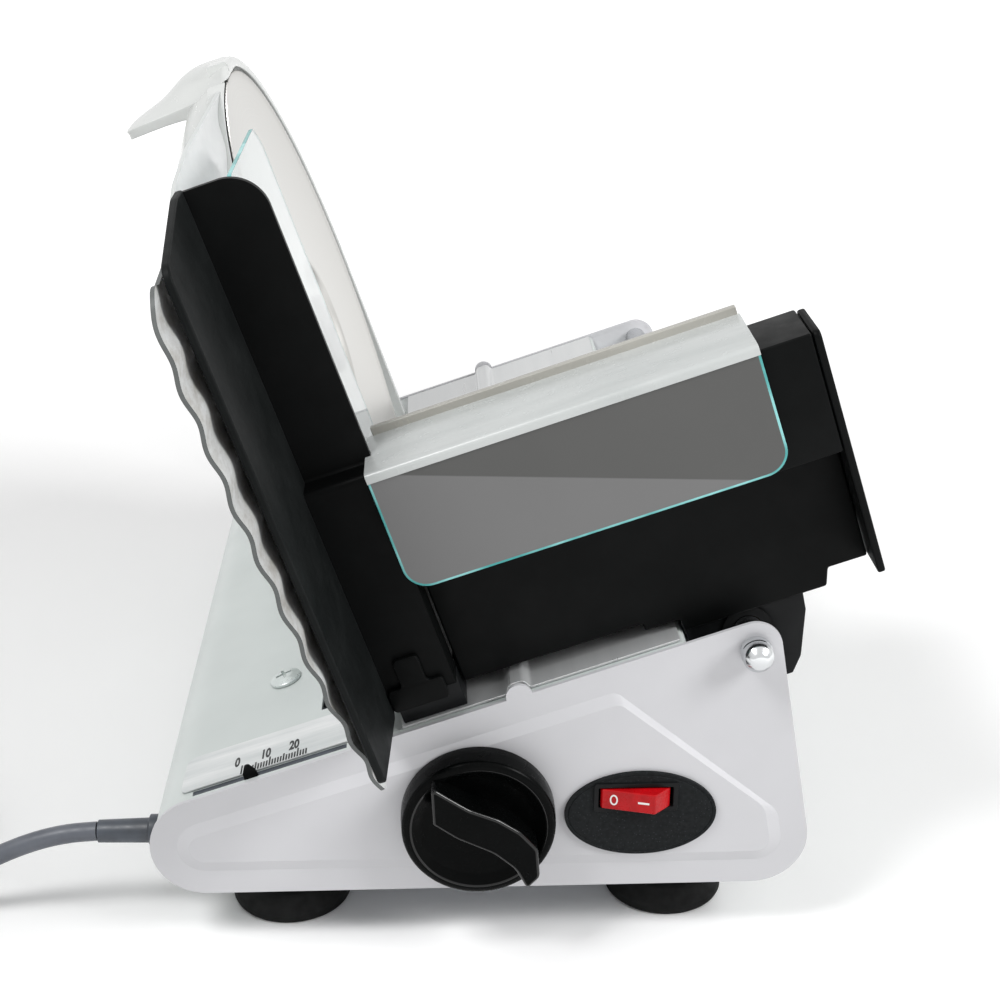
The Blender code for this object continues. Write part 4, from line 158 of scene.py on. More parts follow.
def emboss(tree, shader, height, distance, strength=1.0):
    """Relief of a distance in millimetres, from a height between 0 and 1."""
    bump = add_node(tree, "ShaderNodeBump", {"Distance": distance * MM, "Strength": strength},
                    {"Height": height})
    tree.links.new(bump.outputs["Normal"], shader.inputs["Normal"])


# Finishes

def finish(name, base, roughness, shades=None, dulling=None, relief=None, **sockets):
    """A material whose colour, roughness and relief each follow a noise of their own.

    Shades are two colours and a noise, dulling is two roughnesses and a noise, and relief is a noise, its
    distance and its strength. A noise is its size, detail and so on. The part of it in use may follow.
    """
    material, tree, shader, place = start_finish(name, base, roughness, **sockets)
    if shades:
        first, second, grain, *ends = shades
        amount = spread(tree, noise(tree, place, *grain), 0, 1, *ends)
        tree.links.new(tint(tree, amount, first, second), shader.inputs["Base Color"])
    if dulling:
        low, high, grain, *ends = dulling
        tree.links.new(spread(tree, noise(tree, place, *grain), low, high, *ends), shader.inputs["Roughness"])
    if relief:
        grain, distance, strength = relief
        emboss(tree, shader, noise(tree, place, *grain), distance, strength)
    return material


def powder_coat(name, dark, light):
    """Powder coat on pressed steel: a fine orange peel that softens its reflections."""
    return finish(name, light, 0.36, (light, dark, (45, 3)), (0.32, 0.42, (14, 4)), ((0.9, 2), 0.012, 0.5))


def grained_black_plastic(name, dark, light, roughness):
    """Black ABS from a spark-eroded mould: a fine grain, a little dust and paler rubbed patches."""
    return finish(name, dark, roughness, (dark, light, (28, 5, 0.6), 0.42, 0.72),
                  (roughness - 0.05, roughness + 0.09, (9, 4)), ((0.55, 2), 0.02, 0.45),
                  Specular_IOR_Level=0.07)


def print_ink(name, first, second):
    """Pad print, a thin matt ink that is a little uneven."""
    return finish(name, first, 0.5, (first, second, (0.6, 3), 0, 1))


def clouded_acrylic(name, dark, light):
    """Cast acrylic under its white film: nearly opaque, with long pale streaks."""
    return finish(name, light, 0.22, (light, dark, (14, 4, 0.6, (0.15, 1, 0.4))), (0.18, 0.3, (5, 3)),
                  IOR=1.49)


def cord_sheath(name, dark, light):
    """PVC cord sheath: satin grey with faint draw lines and a little dust."""
    return finish(name, light, 0.4, (dark, light, (10, 4)), (0.34, 0.5, (3, 4)), ((1.2, 3), 0.02, 0.4))


def speckled_plastic():
    """Charcoal plastic with a grained face and pale specks of dust."""
    material, tree, shader, place = start_finish("speckled_charcoal_plastic", "1A1C1D", 0.46,
                                                 Specular_IOR_Level=0.06)
    specks = add_node(tree, "ShaderNodeTexVoronoi", {"Scale": 1 / 1.1, "Randomness": 1.0}, {"Vector": place})
    dot = spread(tree, specks.outputs["Distance"], 1, 0, 0.1, 0.2)
    grain = tint(tree, spread(tree, noise(tree, place, 1.4, 4), 0, 1), "181A1B", "222425")
    tree.links.new(tint(tree, dot, grain, "36393C"), shader.inputs["Base Color"])
    tree.links.new(spread(tree, noise(tree, place, 2, 3), 0.4, 0.55), shader.inputs["Roughness"])
    emboss(tree, shader, noise(tree, place, 0.5, 2), 0.02, 0.5)
    return material


def acrylic_with_painted_reflection():
    """Grey cast acrylic with a painted reflection across its front: lighter below a level line than above it.
    """
    material, tree, shader, place = start_finish("acrylic_painted_reflection", "6A6A6A", 0.32,
                                                 Specular_IOR_Level=0.25)
    # the line between the lighter and the darker painted reflection falls a little to the right
    leaning = add_node(tree, "ShaderNodeMapping", {"Rotation": (0, math.radians(-1.56), 0)},
                       {"Vector": place})
    height = add_node(tree, "ShaderNodeSeparateXYZ", links={"Vector": leaning.outputs["Vector"]}).outputs["Z"]
    cloud = noise(tree, place, 30, 3)
    reflection_tones = tint(tree, cloud, "767676", "727272"), tint(tree, cloud, "5A5A59", "555554")
    tree.links.new(tint(tree, spread(tree, height, 0, 1, 173.7, 174.1), *reflection_tones), shader.inputs["Base Color"])
    tree.links.new(spread(tree, noise(tree, place, 6, 3), 0.28, 0.36), shader.inputs["Roughness"])
    return material


def ground_blade():
    """Ground stainless steel: fine lines round the blade's own axis."""
    material, tree, shader, place = start_finish("ground_stainless_steel", "C6C5C1", 0.32, 1.0)
    back = BLADE.inverted()
    to_blade = {"Location": tuple(back.translation / MM), "Rotation": tuple(back.to_euler())}
    turn = add_node(tree, "ShaderNodeMapping", to_blade, {"Vector": place})
    level_out = add_node(tree, "ShaderNodeMapping", {"Scale": (1, 1, 0)}, {"Vector": turn.outputs["Vector"]})
    reach = length_of(tree, level_out.outputs["Vector"])
    # lines 0.7 mm apart, coarser than the real grinding so that they show
    lines = add_node(tree, "ShaderNodeTexNoise", {"Scale": 1.4, "Detail": 2.0}, {"W": reach},
                     noise_dimensions="1D")
    tree.links.new(spread(tree, lines.outputs["Fac"], 0.32, 0.38), shader.inputs["Roughness"])
    tree.links.new(tint(tree, lines.outputs["Fac"], "C5C4C0", "CAC9C6"), shader.inputs["Base Color"])
    emboss(tree, shader, lines.outputs["Fac"], 0.002, 0.2)
    return material


def metal(name, first, second, roughness, size, stretch=(1, 1, 1), relief=0.006, metallic=1.0):
    """A bare metal with its drawn, turned or plated grain."""
    material, tree, shader, place = start_finish(name, first, roughness, metallic)
    grain = noise(tree, place, size, 4, 0.6, stretch=stretch)
    tree.links.new(tint(tree, grain, first, second), shader.inputs["Base Color"])
    tree.links.new(spread(tree, grain, roughness - 0.06, roughness + 0.08), shader.inputs["Roughness"])
    emboss(tree, shader, grain, relief, 0.4)
    return material


def fence_aluminium():
    """Aluminium sheet as a pale, nearly matt grey, painted in place of its reflections: mottled and darker
    towards its front edge, smooth and pale further in.
    """
    material, tree, shader, place = start_finish("aluminium_painted_reflection", "D3D5D4", 0.42, 0.05)
    depth = add_node(tree, "ShaderNodeSeparateXYZ", links={"Vector": place}).outputs["Y"]
    toward_front = spread(tree, depth, 1, 0, -140, -115)
    mottle = spread(tree, noise(tree, place, 6, 5, 0.65, stretch=(1, 0.5, 1), turn=(0.6, 0, 0)), 0, 1, 0.35,
                    0.68)
    tree.links.new(tint(tree, combined(tree, toward_front, mottle, "MULTIPLY"), "DEE0E0", "ADABA6"),
                   shader.inputs["Base Color"])
    tree.links.new(spread(tree, mottle, 0.36, 0.5), shader.inputs["Roughness"])
    emboss(tree, shader, noise(tree, place, 1.5, 3), 0.02, 0.4)
    return material


def sheared_edge():
    """The sheared edge of the fence's sheet: dark grey towards the operator, pale further in."""
    material, tree, shader, place = start_finish("sheared_aluminium_edge", "6B6D6C", 0.5, 0.1)
    depth = add_node(tree, "ShaderNodeSeparateXYZ", links={"Vector": place}).outputs["Y"]
    dark = tint(tree, noise(tree, place, 2, 3), "4E5151", "626564")
    tree.links.new(tint(tree, spread(tree, depth, 0, 1, -140, -125), dark, "CDD0CF"),
                   shader.inputs["Base Color"])
    return material


# One powder coat in two copies: darker on the upright pans as painted shade, lighter on the sloping cover as
# painted light from the lamps above
SHADED_PANEL_STEEL = powder_coat("powder_coat_panel_painted_shade", "C6C6C9", "CDCDD0")
LIT_COVER_STEEL = powder_coat("powder_coat_cover_painted_light", "CAD0CE", "D2D8D6")
# Injection moulded ABS: an even gloss with faint flow and the odd fine scuff
WHITE_ABS = finish("glossy_white_abs", "D2D4D2", 0.26, ("D6D8D6", "CDD0CE", (60, 2)),
                   (0.20, 0.32, (2.2, 5, 0.7, (1, 0.15, 1)), 0.45, 0.75), ((5, 2), 0.01, 0.3),
                   Coat_Weight=0.15)
# Satin white label film, with pale grey streaks along it
LABEL = finish("satin_label_film", "E9EBEB", 0.4, ("EDEEEE", "CDD1D1", (9, 4, 0.6, (0.12, 1, 0.12)), 0.35,
                                                   0.65), (0.4, 0.52, (3, 3)))
BLACK_ABS = grained_black_plastic("spark_grained_black_abs", "080909", "0F1010", 0.44)
# A lighter copy of the same black ABS for the guard's wing: painted light on its broad face
WING_ABS_PAINTED_LIGHT = grained_black_plastic("spark_grained_abs_painted_light", "121414", "1C1E1E", 0.46)
# Black phenolic moulding of the knob: deep and slightly polished
PHENOLIC = finish("polished_black_phenolic", "050606", 0.2, ("040505", "070808", (8, 3)), (0.2, 0.3, (3, 4)),
                  ((0.7, 2), 0.008, 0.3), Specular_IOR_Level=0.05)
# The knob's ridges, burnished by hands: thin bright lines where the lamps catch them
BURNISHED = finish("burnished_black_phenolic", "0A0B0B", 0.14, None, (0.12, 0.2, (4, 4)),
                   ((0.7, 2), 0.004, 0.2), Specular_IOR_Level=0.4)
# Black rubber: dull, with a bloom of dust in its hollows
RUBBER = finish("moulded_black_rubber", "080909", 0.7, ("070808", "121313", (6, 4), 0.4, 0.75),
                (0.6, 0.8, (4, 3)), ((0.5, 2), 0.02, 0.5), Specular_IOR_Level=0.2)
SPECKLED = speckled_plastic()
# Charcoal plastic with a satin moulded face
CHARCOAL = finish("satin_charcoal_plastic", "121314", 0.4, ("101112", "191A1B", (12, 4)),
                  (0.34, 0.46, (5, 3)), ((0.6, 2), 0.015, 0.4), Specular_IOR_Level=0.12)
# Red polycarbonate of the rocker: an even gloss
RED = finish("red_polycarbonate", "B80C14", 0.28, ("BE0D15", "A80A11", (4, 2)), (0.24, 0.34, (2, 3)),
             Coat_Weight=0.05, Specular_IOR_Level=0.2)
# Cast acrylic: clear, with the faint haze and fine scratches of a sheet that is wiped often
ACRYLIC = finish("cast_acrylic", "DCE1E1", 0.04, ("DAE0E0", "E0E5E5", (40, 2), 0, 1),
                 (0.03, 0.14, (1.3, 4, 0.7, (1, 1, 0.06), (0.5, 0.3, 0.2)), 0.6, 0.8), IOR=1.49,
                 Transmission_Weight=0.93)
ACRYLIC_PAINTED_REFLECTION = acrylic_with_painted_reflection()
# The polished cut edge of acrylic, which gathers light and glows teal to pale cyan
CUT_EDGE = finish("acrylic_cut_edge", "4FA5A3", 0.2, ("3A9C9A", "8CCFCE", (16, 2), 0.4, 0.6), IOR=1.49)
LEDGE_ACRYLIC = clouded_acrylic("white_filmed_acrylic", "B9BDBC", "CBCECD")
LIP_ACRYLIC = clouded_acrylic("smoky_acrylic_lip", "9C9A93", "B2B0A9")
BLADE_STEEL = ground_blade()
# Polished stainless sheet: pale and satin, with long rolling lines
TRACK_STEEL = metal("polished_stainless_sheet", "C4C6C7", "DCDDDD", 0.32, 5, stretch=(1, 0.05, 1),
                    metallic=0.4)
# Turned and polished steel bar, with faint rings round it
BAR_STEEL = metal("ground_steel_bar", "C4C6C8", "D8DADB", 0.2, 3, stretch=(0.2, 1, 0.2))
# Zinc plating: bluish grey, with spangled dull patches
ZINC = metal("zinc_plated_steel", "A6AAB0", "BABDC2", 0.38, 6)
# Bright zinc plating on the screw's rolled head, paler and smoother
PLATED_PALE = metal("bright_zinc_plating", "C2CAC8", "D4DAD8", 0.3, 4, metallic=0.5)
# Sintered bronze: brown and porous, so it is dull
BRONZE = metal("sintered_bronze", "8A6238", "A37A4A", 0.5, 0.8, relief=0.03)
FENCE_ALUMINIUM = fence_aluminium()
FENCE_EDGE = sheared_edge()
# Natural nylon of the gear: waxy and slightly yellow
NYLON = finish("natural_nylon", "DDD8C8", 0.45, ("E0DBCB", "D2CCBA", (9, 3), 0, 1), (0.4, 0.55, (4, 3)))
SHEATH = cord_sheath("grey_pvc_sheath", "545860", "666A72")
SLEEVE = cord_sheath("slate_pvc_sleeve", "34383E", "4C525B")
WHITE_INK = print_ink("white_pad_print", "F4F2F0", "E6E2E0")
BLACK_INK = print_ink("black_screen_print", "121314", "242628")


# Drawing

def points(made):
    """The points among what an operator made."""
    return [item for item in made if isinstance(item, bmesh.types.BMVert)]


def everything(shape):
    """All points, edges and faces."""
    return shape.verts[:] + shape.edges[:] + shape.faces[:]


def rotated(shape, matrix):
    """Turns a shape about the middle of its frame."""
    bmesh.ops.rotate(shape, cent=(0, 0, 0), matrix=matrix.to_3x3(), verts=shape.verts)


def lift(shape, faces, height):
    """Extrudes faces by a height."""
    made = bmesh.ops.extrude_face_region(shape, geom=faces)["geom"]
    bmesh.ops.translate(shape, vec=(0, 0, height), verts=points(made))


def box(left, low, right, high, rounding=0):
    """The corners of a rectangle, rounded alike or each by its own radius from the lower left one round."""
    sizes = rounding if isinstance(rounding, tuple) else (rounding,) * 4
    return [(left, low, sizes[0]), (right, low, sizes[1]), (right, high, sizes[2]), (left, high, sizes[3])]


def turn_out(shape, axis, sign=1, pick=lambda face: face.calc_area()):
    """Makes all faces look outwards, where the largest or picked one looks along an axis."""
    bmesh.ops.recalc_face_normals(shape, faces=shape.faces)
    if max(shape.faces, key=pick).normal[axis] * sign < 0:
        bmesh.ops.reverse_faces(shape, faces=shape.faces)


def trace(shape, corners, closed=True, height=0.0, steps=10):
    """A wire through (x, y, radius) corners, each rounded by a spin about its middle."""
    count = len(corners)
    ends = []
    for index, (x, y, radius) in enumerate(corners):
        here = Vector((x, y, height))
        if not radius or (not closed and index in (0, count - 1)):
            vert = shape.verts.new(here)
            ends.append((vert, vert))
            continue
        before = (Vector((*corners[index - 1][:2], height)) - here).normalized()
        after = (Vector((*corners[(index + 1) % count][:2], height)) - here).normalized()
        half = before.angle(after) / 2
        middle = here + (before + after).normalized() * (radius / math.sin(half))
        start = shape.verts.new(here + before * (radius / math.tan(half)))
        sweep = -math.copysign(math.pi - 2 * half, before.cross(after).z)
        swept = bmesh.ops.spin(shape, geom=[start], cent=middle, axis=(0, 0, 1), angle=sweep, steps=steps)
        ends.append((start, points(swept["geom_last"])[0]))
    following = ends[1:] + ends[:1] if closed else ends[1:]
    for (_, last), (first, _) in zip(ends, following):
        shape.edges.new((last, first))


def ring(shape, middle, half_x, half_y, height=0.0, steps=32):
    """A round or oval wire."""
    made = bmesh.ops.create_circle(shape, segments=steps, radius=1)["verts"]
    bmesh.ops.scale(shape, vec=(half_x, half_y, 1), verts=made)
    bmesh.ops.translate(shape, vec=(*middle, height), verts=made)


def loose_edges(shape):
    """The edges that carry no face yet."""
    return [edge for edge in shape.edges if edge.is_wire]


def fill(shape):
    """Fills the wires drawn so far, with the inner ones as holes."""
    wires = loose_edges(shape)
    verts = list({vert for edge in wires for vert in edge.verts})
    bmesh.ops.remove_doubles(shape, verts=verts, dist=0.0001)
    bmesh.ops.triangle_fill(shape, edges=loose_edges(shape), use_beauty=True, use_dissolve=True,
                            normal=(0, 0, 1))


def slab(outlines, low, high, steps=10):
    """A flat outline with its holes, given a height from low to high."""
    shape = bmesh.new()
    for outline in outlines:
        trace(shape, outline, steps=steps)
    fill(shape)
    bmesh.ops.translate(shape, vec=(0, 0, low), verts=shape.verts)
    lift(shape, shape.faces[:], high - low)
    bmesh.ops.recalc_face_normals(shape, faces=shape.faces)
    return shape


def strip(path, low, high, steps=6):
    """A sheet that follows an open path and runs from low to high across it."""
    shape = bmesh.new()
    trace(shape, path, closed=False, height=low, steps=steps)
    bmesh.ops.remove_doubles(shape, verts=shape.verts, dist=0.0001)
    made = bmesh.ops.extrude_edge_only(shape, edges=shape.edges[:])["geom"]
    bmesh.ops.translate(shape, vec=(0, 0, high - low), verts=points(made))
    return shape


def lathe(profile, steps=96, ring_shaped=False):
    """A shape turned about the Z axis from (radius, height, rounding) corners."""
    shape = bmesh.new()
    trace(shape, profile, closed=ring_shaped, steps=4)
    rotated(shape, UPRIGHT)
    bmesh.ops.spin(shape, geom=shape.verts[:] + shape.edges[:], cent=(0, 0, 0), axis=(0, 0, 1),
                   angle=2 * math.pi, steps=steps, use_merge=True)
    bmesh.ops.remove_doubles(shape, verts=shape.verts, dist=0.0001)
    bmesh.ops.recalc_face_normals(shape, faces=shape.faces)
    return shape


def punch(shape, low, high):
    """Opens a sheet between two corners, each (x, y, z)."""
    for axis, limits in ((0, (low[0], high[0])), (1, (low[1], high[1]))):
        for limit in limits:
            place, normal = Vector((0, 0, 0)), Vector((0, 0, 0))
            place[axis], normal[axis] = limit, 1
            bmesh.ops.bisect_plane(shape, geom=everything(shape), plane_co=place, plane_no=normal)
    inside = []
    for face in shape.faces:
        middle = face.calc_center_median()
        if low[0] < middle.x < high[0] and low[1] < middle.y < high[1] and low[2] < middle.z < high[2]:
            inside.append(face)
    bmesh.ops.delete(shape, geom=inside, context="FACES")


def round_corner(shape, middle, radius, start, end, plane, steps=14):
    """Trims an outward corner to an arc between two angles in degrees, in the plane of two axes."""
    for step in range(steps + 1):
        angle = math.radians(start + (end - start) * step / steps)
        normal = Vector((0, 0, 0))
        normal[plane[0]], normal[plane[1]] = math.cos(angle), math.sin(angle)
        place = normal * radius
        place[plane[0]] += middle[0]
        place[plane[1]] += middle[1]
        bmesh.ops.bisect_plane(shape, geom=everything(shape), plane_co=place, plane_no=normal,
                               clear_outer=True)


def merged_copy(node):
    """A node's own solid as a shape in metres, with its flat faces whole again."""
    shape = bmesh.new()
    shape.from_mesh(NODES[node].data)
    bmesh.ops.remove_doubles(shape, verts=shape.verts, dist=0.00001)
    bmesh.ops.dissolve_limit(shape, angle_limit=math.radians(1), verts=shape.verts, edges=shape.edges)
    return shape


def settle(shape, matrix, scale=MM):
    """Moves a shape drawn in millimetres to its place in the slicer."""
    bmesh.ops.transform(shape, matrix=matrix @ Matrix.Scale(scale, 4), verts=shape.verts)
    if matrix.determinant() < 0:
        bmesh.ops.reverse_faces(shape, faces=shape.faces)
    return shape


def piece(name, shape, finishes, body, nodes=(), wall=0.0, ease=0.0, bend=30, rim=0, sharp=None,
          smooth=0, even=True, worn=-1):
    """A piece of the slicer, with the body that it rides on and the nodes that it replaces.

    The wall and the eased edges are in millimetres, bend and sharp in degrees.
    Rim and worn say which finish the sheet's rim and the eased edges have.
    """
    mesh = bpy.data.meshes.new(name)
    shape.to_mesh(mesh)
    shape.free()
    mesh.shade_smooth()
    if sharp:
        mesh.set_sharp_from_angle(angle=math.radians(sharp))
    for finish in finishes:
        mesh.materials.append(finish)
    made = bpy.data.objects.new(name, mesh)
    bpy.context.scene.collection.objects.link(made)
    if wall:
        solid = made.modifiers.new("wall", "SOLIDIFY")
        solid.thickness = wall * MM
        solid.offset = -1
        solid.use_even_offset = even
        solid.material_offset_rim = rim
    if ease:
        eased = made.modifiers.new("eased_edges", "BEVEL")
        eased.width = ease * MM
        eased.segments = 3
        eased.limit_method = "ANGLE"
        eased.angle_limit = math.radians(bend)
        eased.harden_normals = True
        eased.material = worn
    if smooth:
        rounded = made.modifiers.new("rounded_form", "SUBSURF")
        rounded.levels = rounded.render_levels = smooth
    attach(made, body)
    if nodes:
        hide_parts(*nodes)
    return made


def moulded(node, finish, body, ease=0.6, bend=30):
    """A node in its own shape, with its edges eased as moulding or folding leaves them."""
    return piece(node + "_moulded", merged_copy(node), [finish], body, [node], ease=ease, bend=bend)


def level(a, n):
    """A point of the slope frame as (x, z) in the base's level frame, in millimetres."""
    return (SLOPE_X + a * math.cos(SLOPE) - n * math.sin(SLOPE),
            SLOPE_Z + a * math.sin(SLOPE) + n * math.cos(SLOPE))


def on_rod(y):
    """The frame of the slide rod's axis, y millimetres behind the front of the base."""
    return BASE @ Matrix.Translation((0.0875, y * MM, 0.1105))


def moved_in(corners, distance):
    """The same closed outline, drawn anticlockwise, moved inwards."""
    moved = []
    for index, (x, y, radius) in enumerate(corners):
        here = Vector((x, y))
        to_here = (here - Vector(corners[index - 1][:2])).normalized()
        onward = (Vector(corners[(index + 1) % len(corners)][:2]) - here).normalized()
        first, second = Vector((-to_here.y, to_here.x)), Vector((-onward.y, onward.x))
        mitre = (first + second).normalized()
        place = here + mitre * (distance / mitre.dot(first))
        moved.append((place.x, place.y, max(radius - distance, 0)))
    return moved


# Base

# Corners of the base's end panels, with the radius of each
NOSE, RIGHT, TOP = (-203.0517, 20.0, 18.5), (113.8, 20.0, 18.0), (94.4445, 122.4361, 9.0)
# From front to back, the turned rims, the pressed field's height and the slope round it, and the tab's radius
DEPTH = 328.7
RIM_DEPTH = 2.6
PRESSED = 1.2
PRESSED_SLOPE = 4.2
TAB = 4.3


def tabbed_outline():
    """The panel's outline, with a half disc standing on its sloping edge."""
    return [NOSE, RIGHT, TOP, (*level(TAB, 0), 0), (*level(TAB, TAB), TAB - 0.05),
            (*level(-TAB, TAB), TAB - 0.05), (*level(-TAB, 0), 0)]


def pressed_field(border):
    """The outline of the shallow raised field, whose top edge turns down before the corner."""
    nose, right, _ = moved_in([NOSE, RIGHT, TOP], 9.0 + border)
    shoulder = 48.6 + border / 2
    return [nose, right, (right[0] - (shoulder - right[1]) * LEAN, shoulder, 9.0),
            (*level(30.0, -9.0 - border), 4.3)]


def pan(name, matrix, node, holes):
    """A steel pan pressed from one sheet: border, soft slope, raised field and a rim turned into the base."""
    shape = bmesh.new()
    trace(shape, tabbed_outline(), height=-PRESSED, steps=26)
    trace(shape, pressed_field(0), height=-PRESSED, steps=22)
    fill(shape)
    outer = [edge for edge in shape.edges if edge.is_boundary]
    reach = Vector((NOSE[0], NOSE[1], -PRESSED))
    # the rim is the outline's own edge, which lies outside the field on every side
    ring_out = connected_loop(outer, min(outer, key=lambda e: (e.verts[0].co - reach).length))
    ring_in = [edge for edge in outer if edge not in ring_out]
    slope = bmesh.ops.extrude_edge_only(shape, edges=ring_in)["geom"]
    floor_verts = points(slope)
    bmesh.ops.translate(shape, vec=(0, 0, PRESSED), verts=floor_verts)
    draw_in(floor_verts, pressed_field(0), pressed_field(PRESSED_SLOPE))
    floor_edges = [item for item in slope
                   if isinstance(item, bmesh.types.BMEdge) and all(v in floor_verts for v in item.verts)]
    before = set(shape.edges)
    for hole in holes:
        if len(hole) == 3:
            ring(shape, hole[:2], hole[2], hole[2])
        else:
            trace(shape, hole)
    fresh = [edge for edge in shape.edges if edge not in before]
    bmesh.ops.triangle_fill(shape, edges=floor_edges + fresh, use_beauty=True, use_dissolve=True,
                            normal=(0, 0, 1))
    rim = bmesh.ops.extrude_edge_only(shape, edges=ring_out)["geom"]
    bmesh.ops.translate(shape, vec=(0, 0, PRESSED - RIM_DEPTH), verts=points(rim))
    turn_out(shape, 2)
    settle(shape, matrix)
    return piece(name, shape, [SHADED_PANEL_STEEL], "base", [node], wall=2.0, ease=0.45,
                 bend=9, even=False)


def connected_loop(edges, first):
    """The edges of a closed loop, found from one of them."""
    pool, loop, grown = set(edges), {first}, True
    while grown:
        verts = {vert for edge in loop for vert in edge.verts}
        more = {edge for edge in pool - loop if edge.verts[0] in verts or edge.verts[1] in verts}
        loop |= more
        grown = bool(more)
    return list(loop)


def draw_in(verts, corners, smaller):
    """Moves the points of one traced outline onto a smaller one with as many points."""
    twin = bmesh.new()
    trace(twin, corners, steps=22)
    twin.verts.ensure_lookup_table()
    other = bmesh.new()
    trace(other, smaller, steps=22)
    other.verts.ensure_lookup_table()
    for vert in verts:
        place = Vector((vert.co.x, vert.co.y, 0))
        index = min(range(len(twin.verts)), key=lambda i: (twin.verts[i].co - place).length)
        vert.co.x, vert.co.y = other.verts[index].co.x, other.verts[index].co.y
    twin.free()
    other.free()


def base():
    """The two end pans, the cover between them, the bottom plate and the four feet."""
    switch_hole = box(50.7 - 13.8, 53.4 - 8.3, 50.7 + 13.8, 53.4 + 8.3, 1)
    pan("front_pan", BASE @ UPRIGHT, "front_panel", [(-1.6, 51.1, 6.3), switch_hole])
    pan("back_pan", BASE @ Matrix.Translation((0, DEPTH * MM, 0)) @ Matrix.Scale(-1, 4, (0, 1, 0)) @ UPRIGHT,
        "back_panel", [])
    folded_cover()
    moulded("bottom_plate", ZINC, "base", 0.4)
    for number, (x, y) in enumerate(((-67, 31), (-67, DEPTH - 31), (66, 31), (66, DEPTH - 31)), 1):
        foot = lathe([(0, 22.6, 0), (10.5, 22.3, 1), (10.5, 13.0, 3), (17.6, 9.6, 5), (20.6, 3.2, 2.5),
                      (21, 0.9, 0.5), (20.6, 0, 0.2), (19.5, 0, 0.3), (10.5, 2.5, 2), (0, 5, 0)])
        settle(foot, BASE @ Matrix.Translation((x * MM, y * MM, 0)))
        piece(f"suction_cup_{number}", foot, [RUBBER], "base", [f"suction_foot_{number}"],
              sharp=50)


def folded_cover():
    """One sheet from the nose over the slope and down the right side, slotted for what moves through."""
    nose, right, _ = moved_in([NOSE, RIGHT, TOP], 0.8)
    rise = math.tan(SLOPE)
    edge, foot = level(56.5, -0.8), level(56.5, -24)
    wall_x = (right[0] - (foot[1] - right[1] - foot[0] * rise) * LEAN) / (1 + rise * LEAN)
    path = [(-80.0, nose[1], 0), nose, (*edge, 2.2), (*foot, 1.5),
            (wall_x, foot[1] + (wall_x - foot[0]) * rise, 3), right,
            (right[0] - right[2] - 12.5, right[1], 0)]
    shape = strip(path, -(DEPTH - 3.3), -3.3, steps=18)
    settle(shape, UPRIGHT, 1)
    to_slope = (Matrix.Translation((SLOPE_X, 0, SLOPE_Z)) @ Matrix.Rotation(-SLOPE, 4, "Y")).inverted()
    bmesh.ops.transform(shape, matrix=to_slope, verts=shape.verts)
    punch(shape, (-46.5, 114, -4), (-40.8, 266, 4))
    punch(shape, (-114.5, 5.2, -4), (-60, 8.0, 4))
    for y in (40, 60):
        punch(shape, (-70.5, y - 4.5, -4), (-46.3, y + 4.5, 4))
    turn_out(shape, 2, pick=lambda face: face.calc_center_median().z)
    settle(shape, SLOPED)
    lining = slab([box(-114.4, 5.3, -60.1, 7.9)], -1.4, -0.9)
    piece("slot_lining", settle(lining, SLOPED), [SLEEVE], "base", ease=0.1)
    piece("folded_cover", shape, [LIT_COVER_STEEL], "base", ["top_cover"], wall=1.5,
          ease=0.25)


def track():
    """The polished plate under the carriage, with its pressed bead."""
    path = [(-40.2, 0.3, 0), (-4.2, 0.3, 1.2), (-2.7, 3.3, 2.2), (2.7, 3.3, 2.2), (4.2, 0.3, 1.2),
            (55, 0.3, 0)]
    shape = strip(path, -323.6, -5.1, steps=8)
    turn_out(shape, 1)
    settle(shape, SLOPED @ UPRIGHT)
    piece("polished_track", shape, [TRACK_STEEL], "base", ["track_plate"],
          wall=0.8, ease=0.2)


def scale():
    """The thickness scale: label, ticks a millimetre apart and the numbers 0, 10 and 20."""
    plate = slab([box(-118.8, 8.0, -50.5, 29, (2.0, 0, 0, 4.0))], -0.5, 0.1)
    piece("scale_label", settle(plate, SLOPED), [LABEL], "base", ["scale_plate"],
          ease=0.15)
    ticks = bmesh.new()
    for mark in range(0, 24):
        tall = 5.2 if mark % 10 == 0 else 4.5 if mark % 5 == 0 else 3.4
        made = bmesh.ops.create_cube(ticks, size=1)["verts"]
        bmesh.ops.scale(ticks, vec=(0.58, tall, 0.06), verts=made)
        bmesh.ops.translate(ticks, vec=(-97.2 + mark, 8.1 + tall / 2, 0.13), verts=made)
    piece("scale_ticks", settle(ticks, SLOPED), [BLACK_INK], "base")
    for word, a in (("0", -99.2), ("10", -89.0), ("20", -78.8)):
        place = SLOPED @ Matrix.Translation((a * MM, 0.0138, 0.00011)) @ Matrix.Diagonal((0.98, 2.1, 1, 1))
        lettering("scale_" + word, word, 3.6, place, BLACK_INK, "base")


def lettering(name, word, size, matrix, finish, body):
    """Printed figures as thin solid shapes."""
    text = bpy.data.curves.new(name, "FONT")
    text.body = word
    text.align_x = "CENTER"
    text.size = size
    text.offset = 0.15
    text.extrude = 0.03
    guide = bpy.data.objects.new(name, text)
    bpy.context.scene.collection.objects.link(guide)
    bpy.context.view_layer.update()
    mesh = bpy.data.meshes.new_from_object(guide.evaluated_get(bpy.context.evaluated_depsgraph_get()))
    shape = bmesh.new()
    shape.from_mesh(mesh)
    bpy.data.objects.remove(guide, do_unlink=True)
    bpy.data.meshes.remove(mesh)
    bmesh.ops.remove_doubles(shape, verts=shape.verts, dist=0.0001)
    return piece(name, settle(shape, matrix), [finish], body, sharp=30)


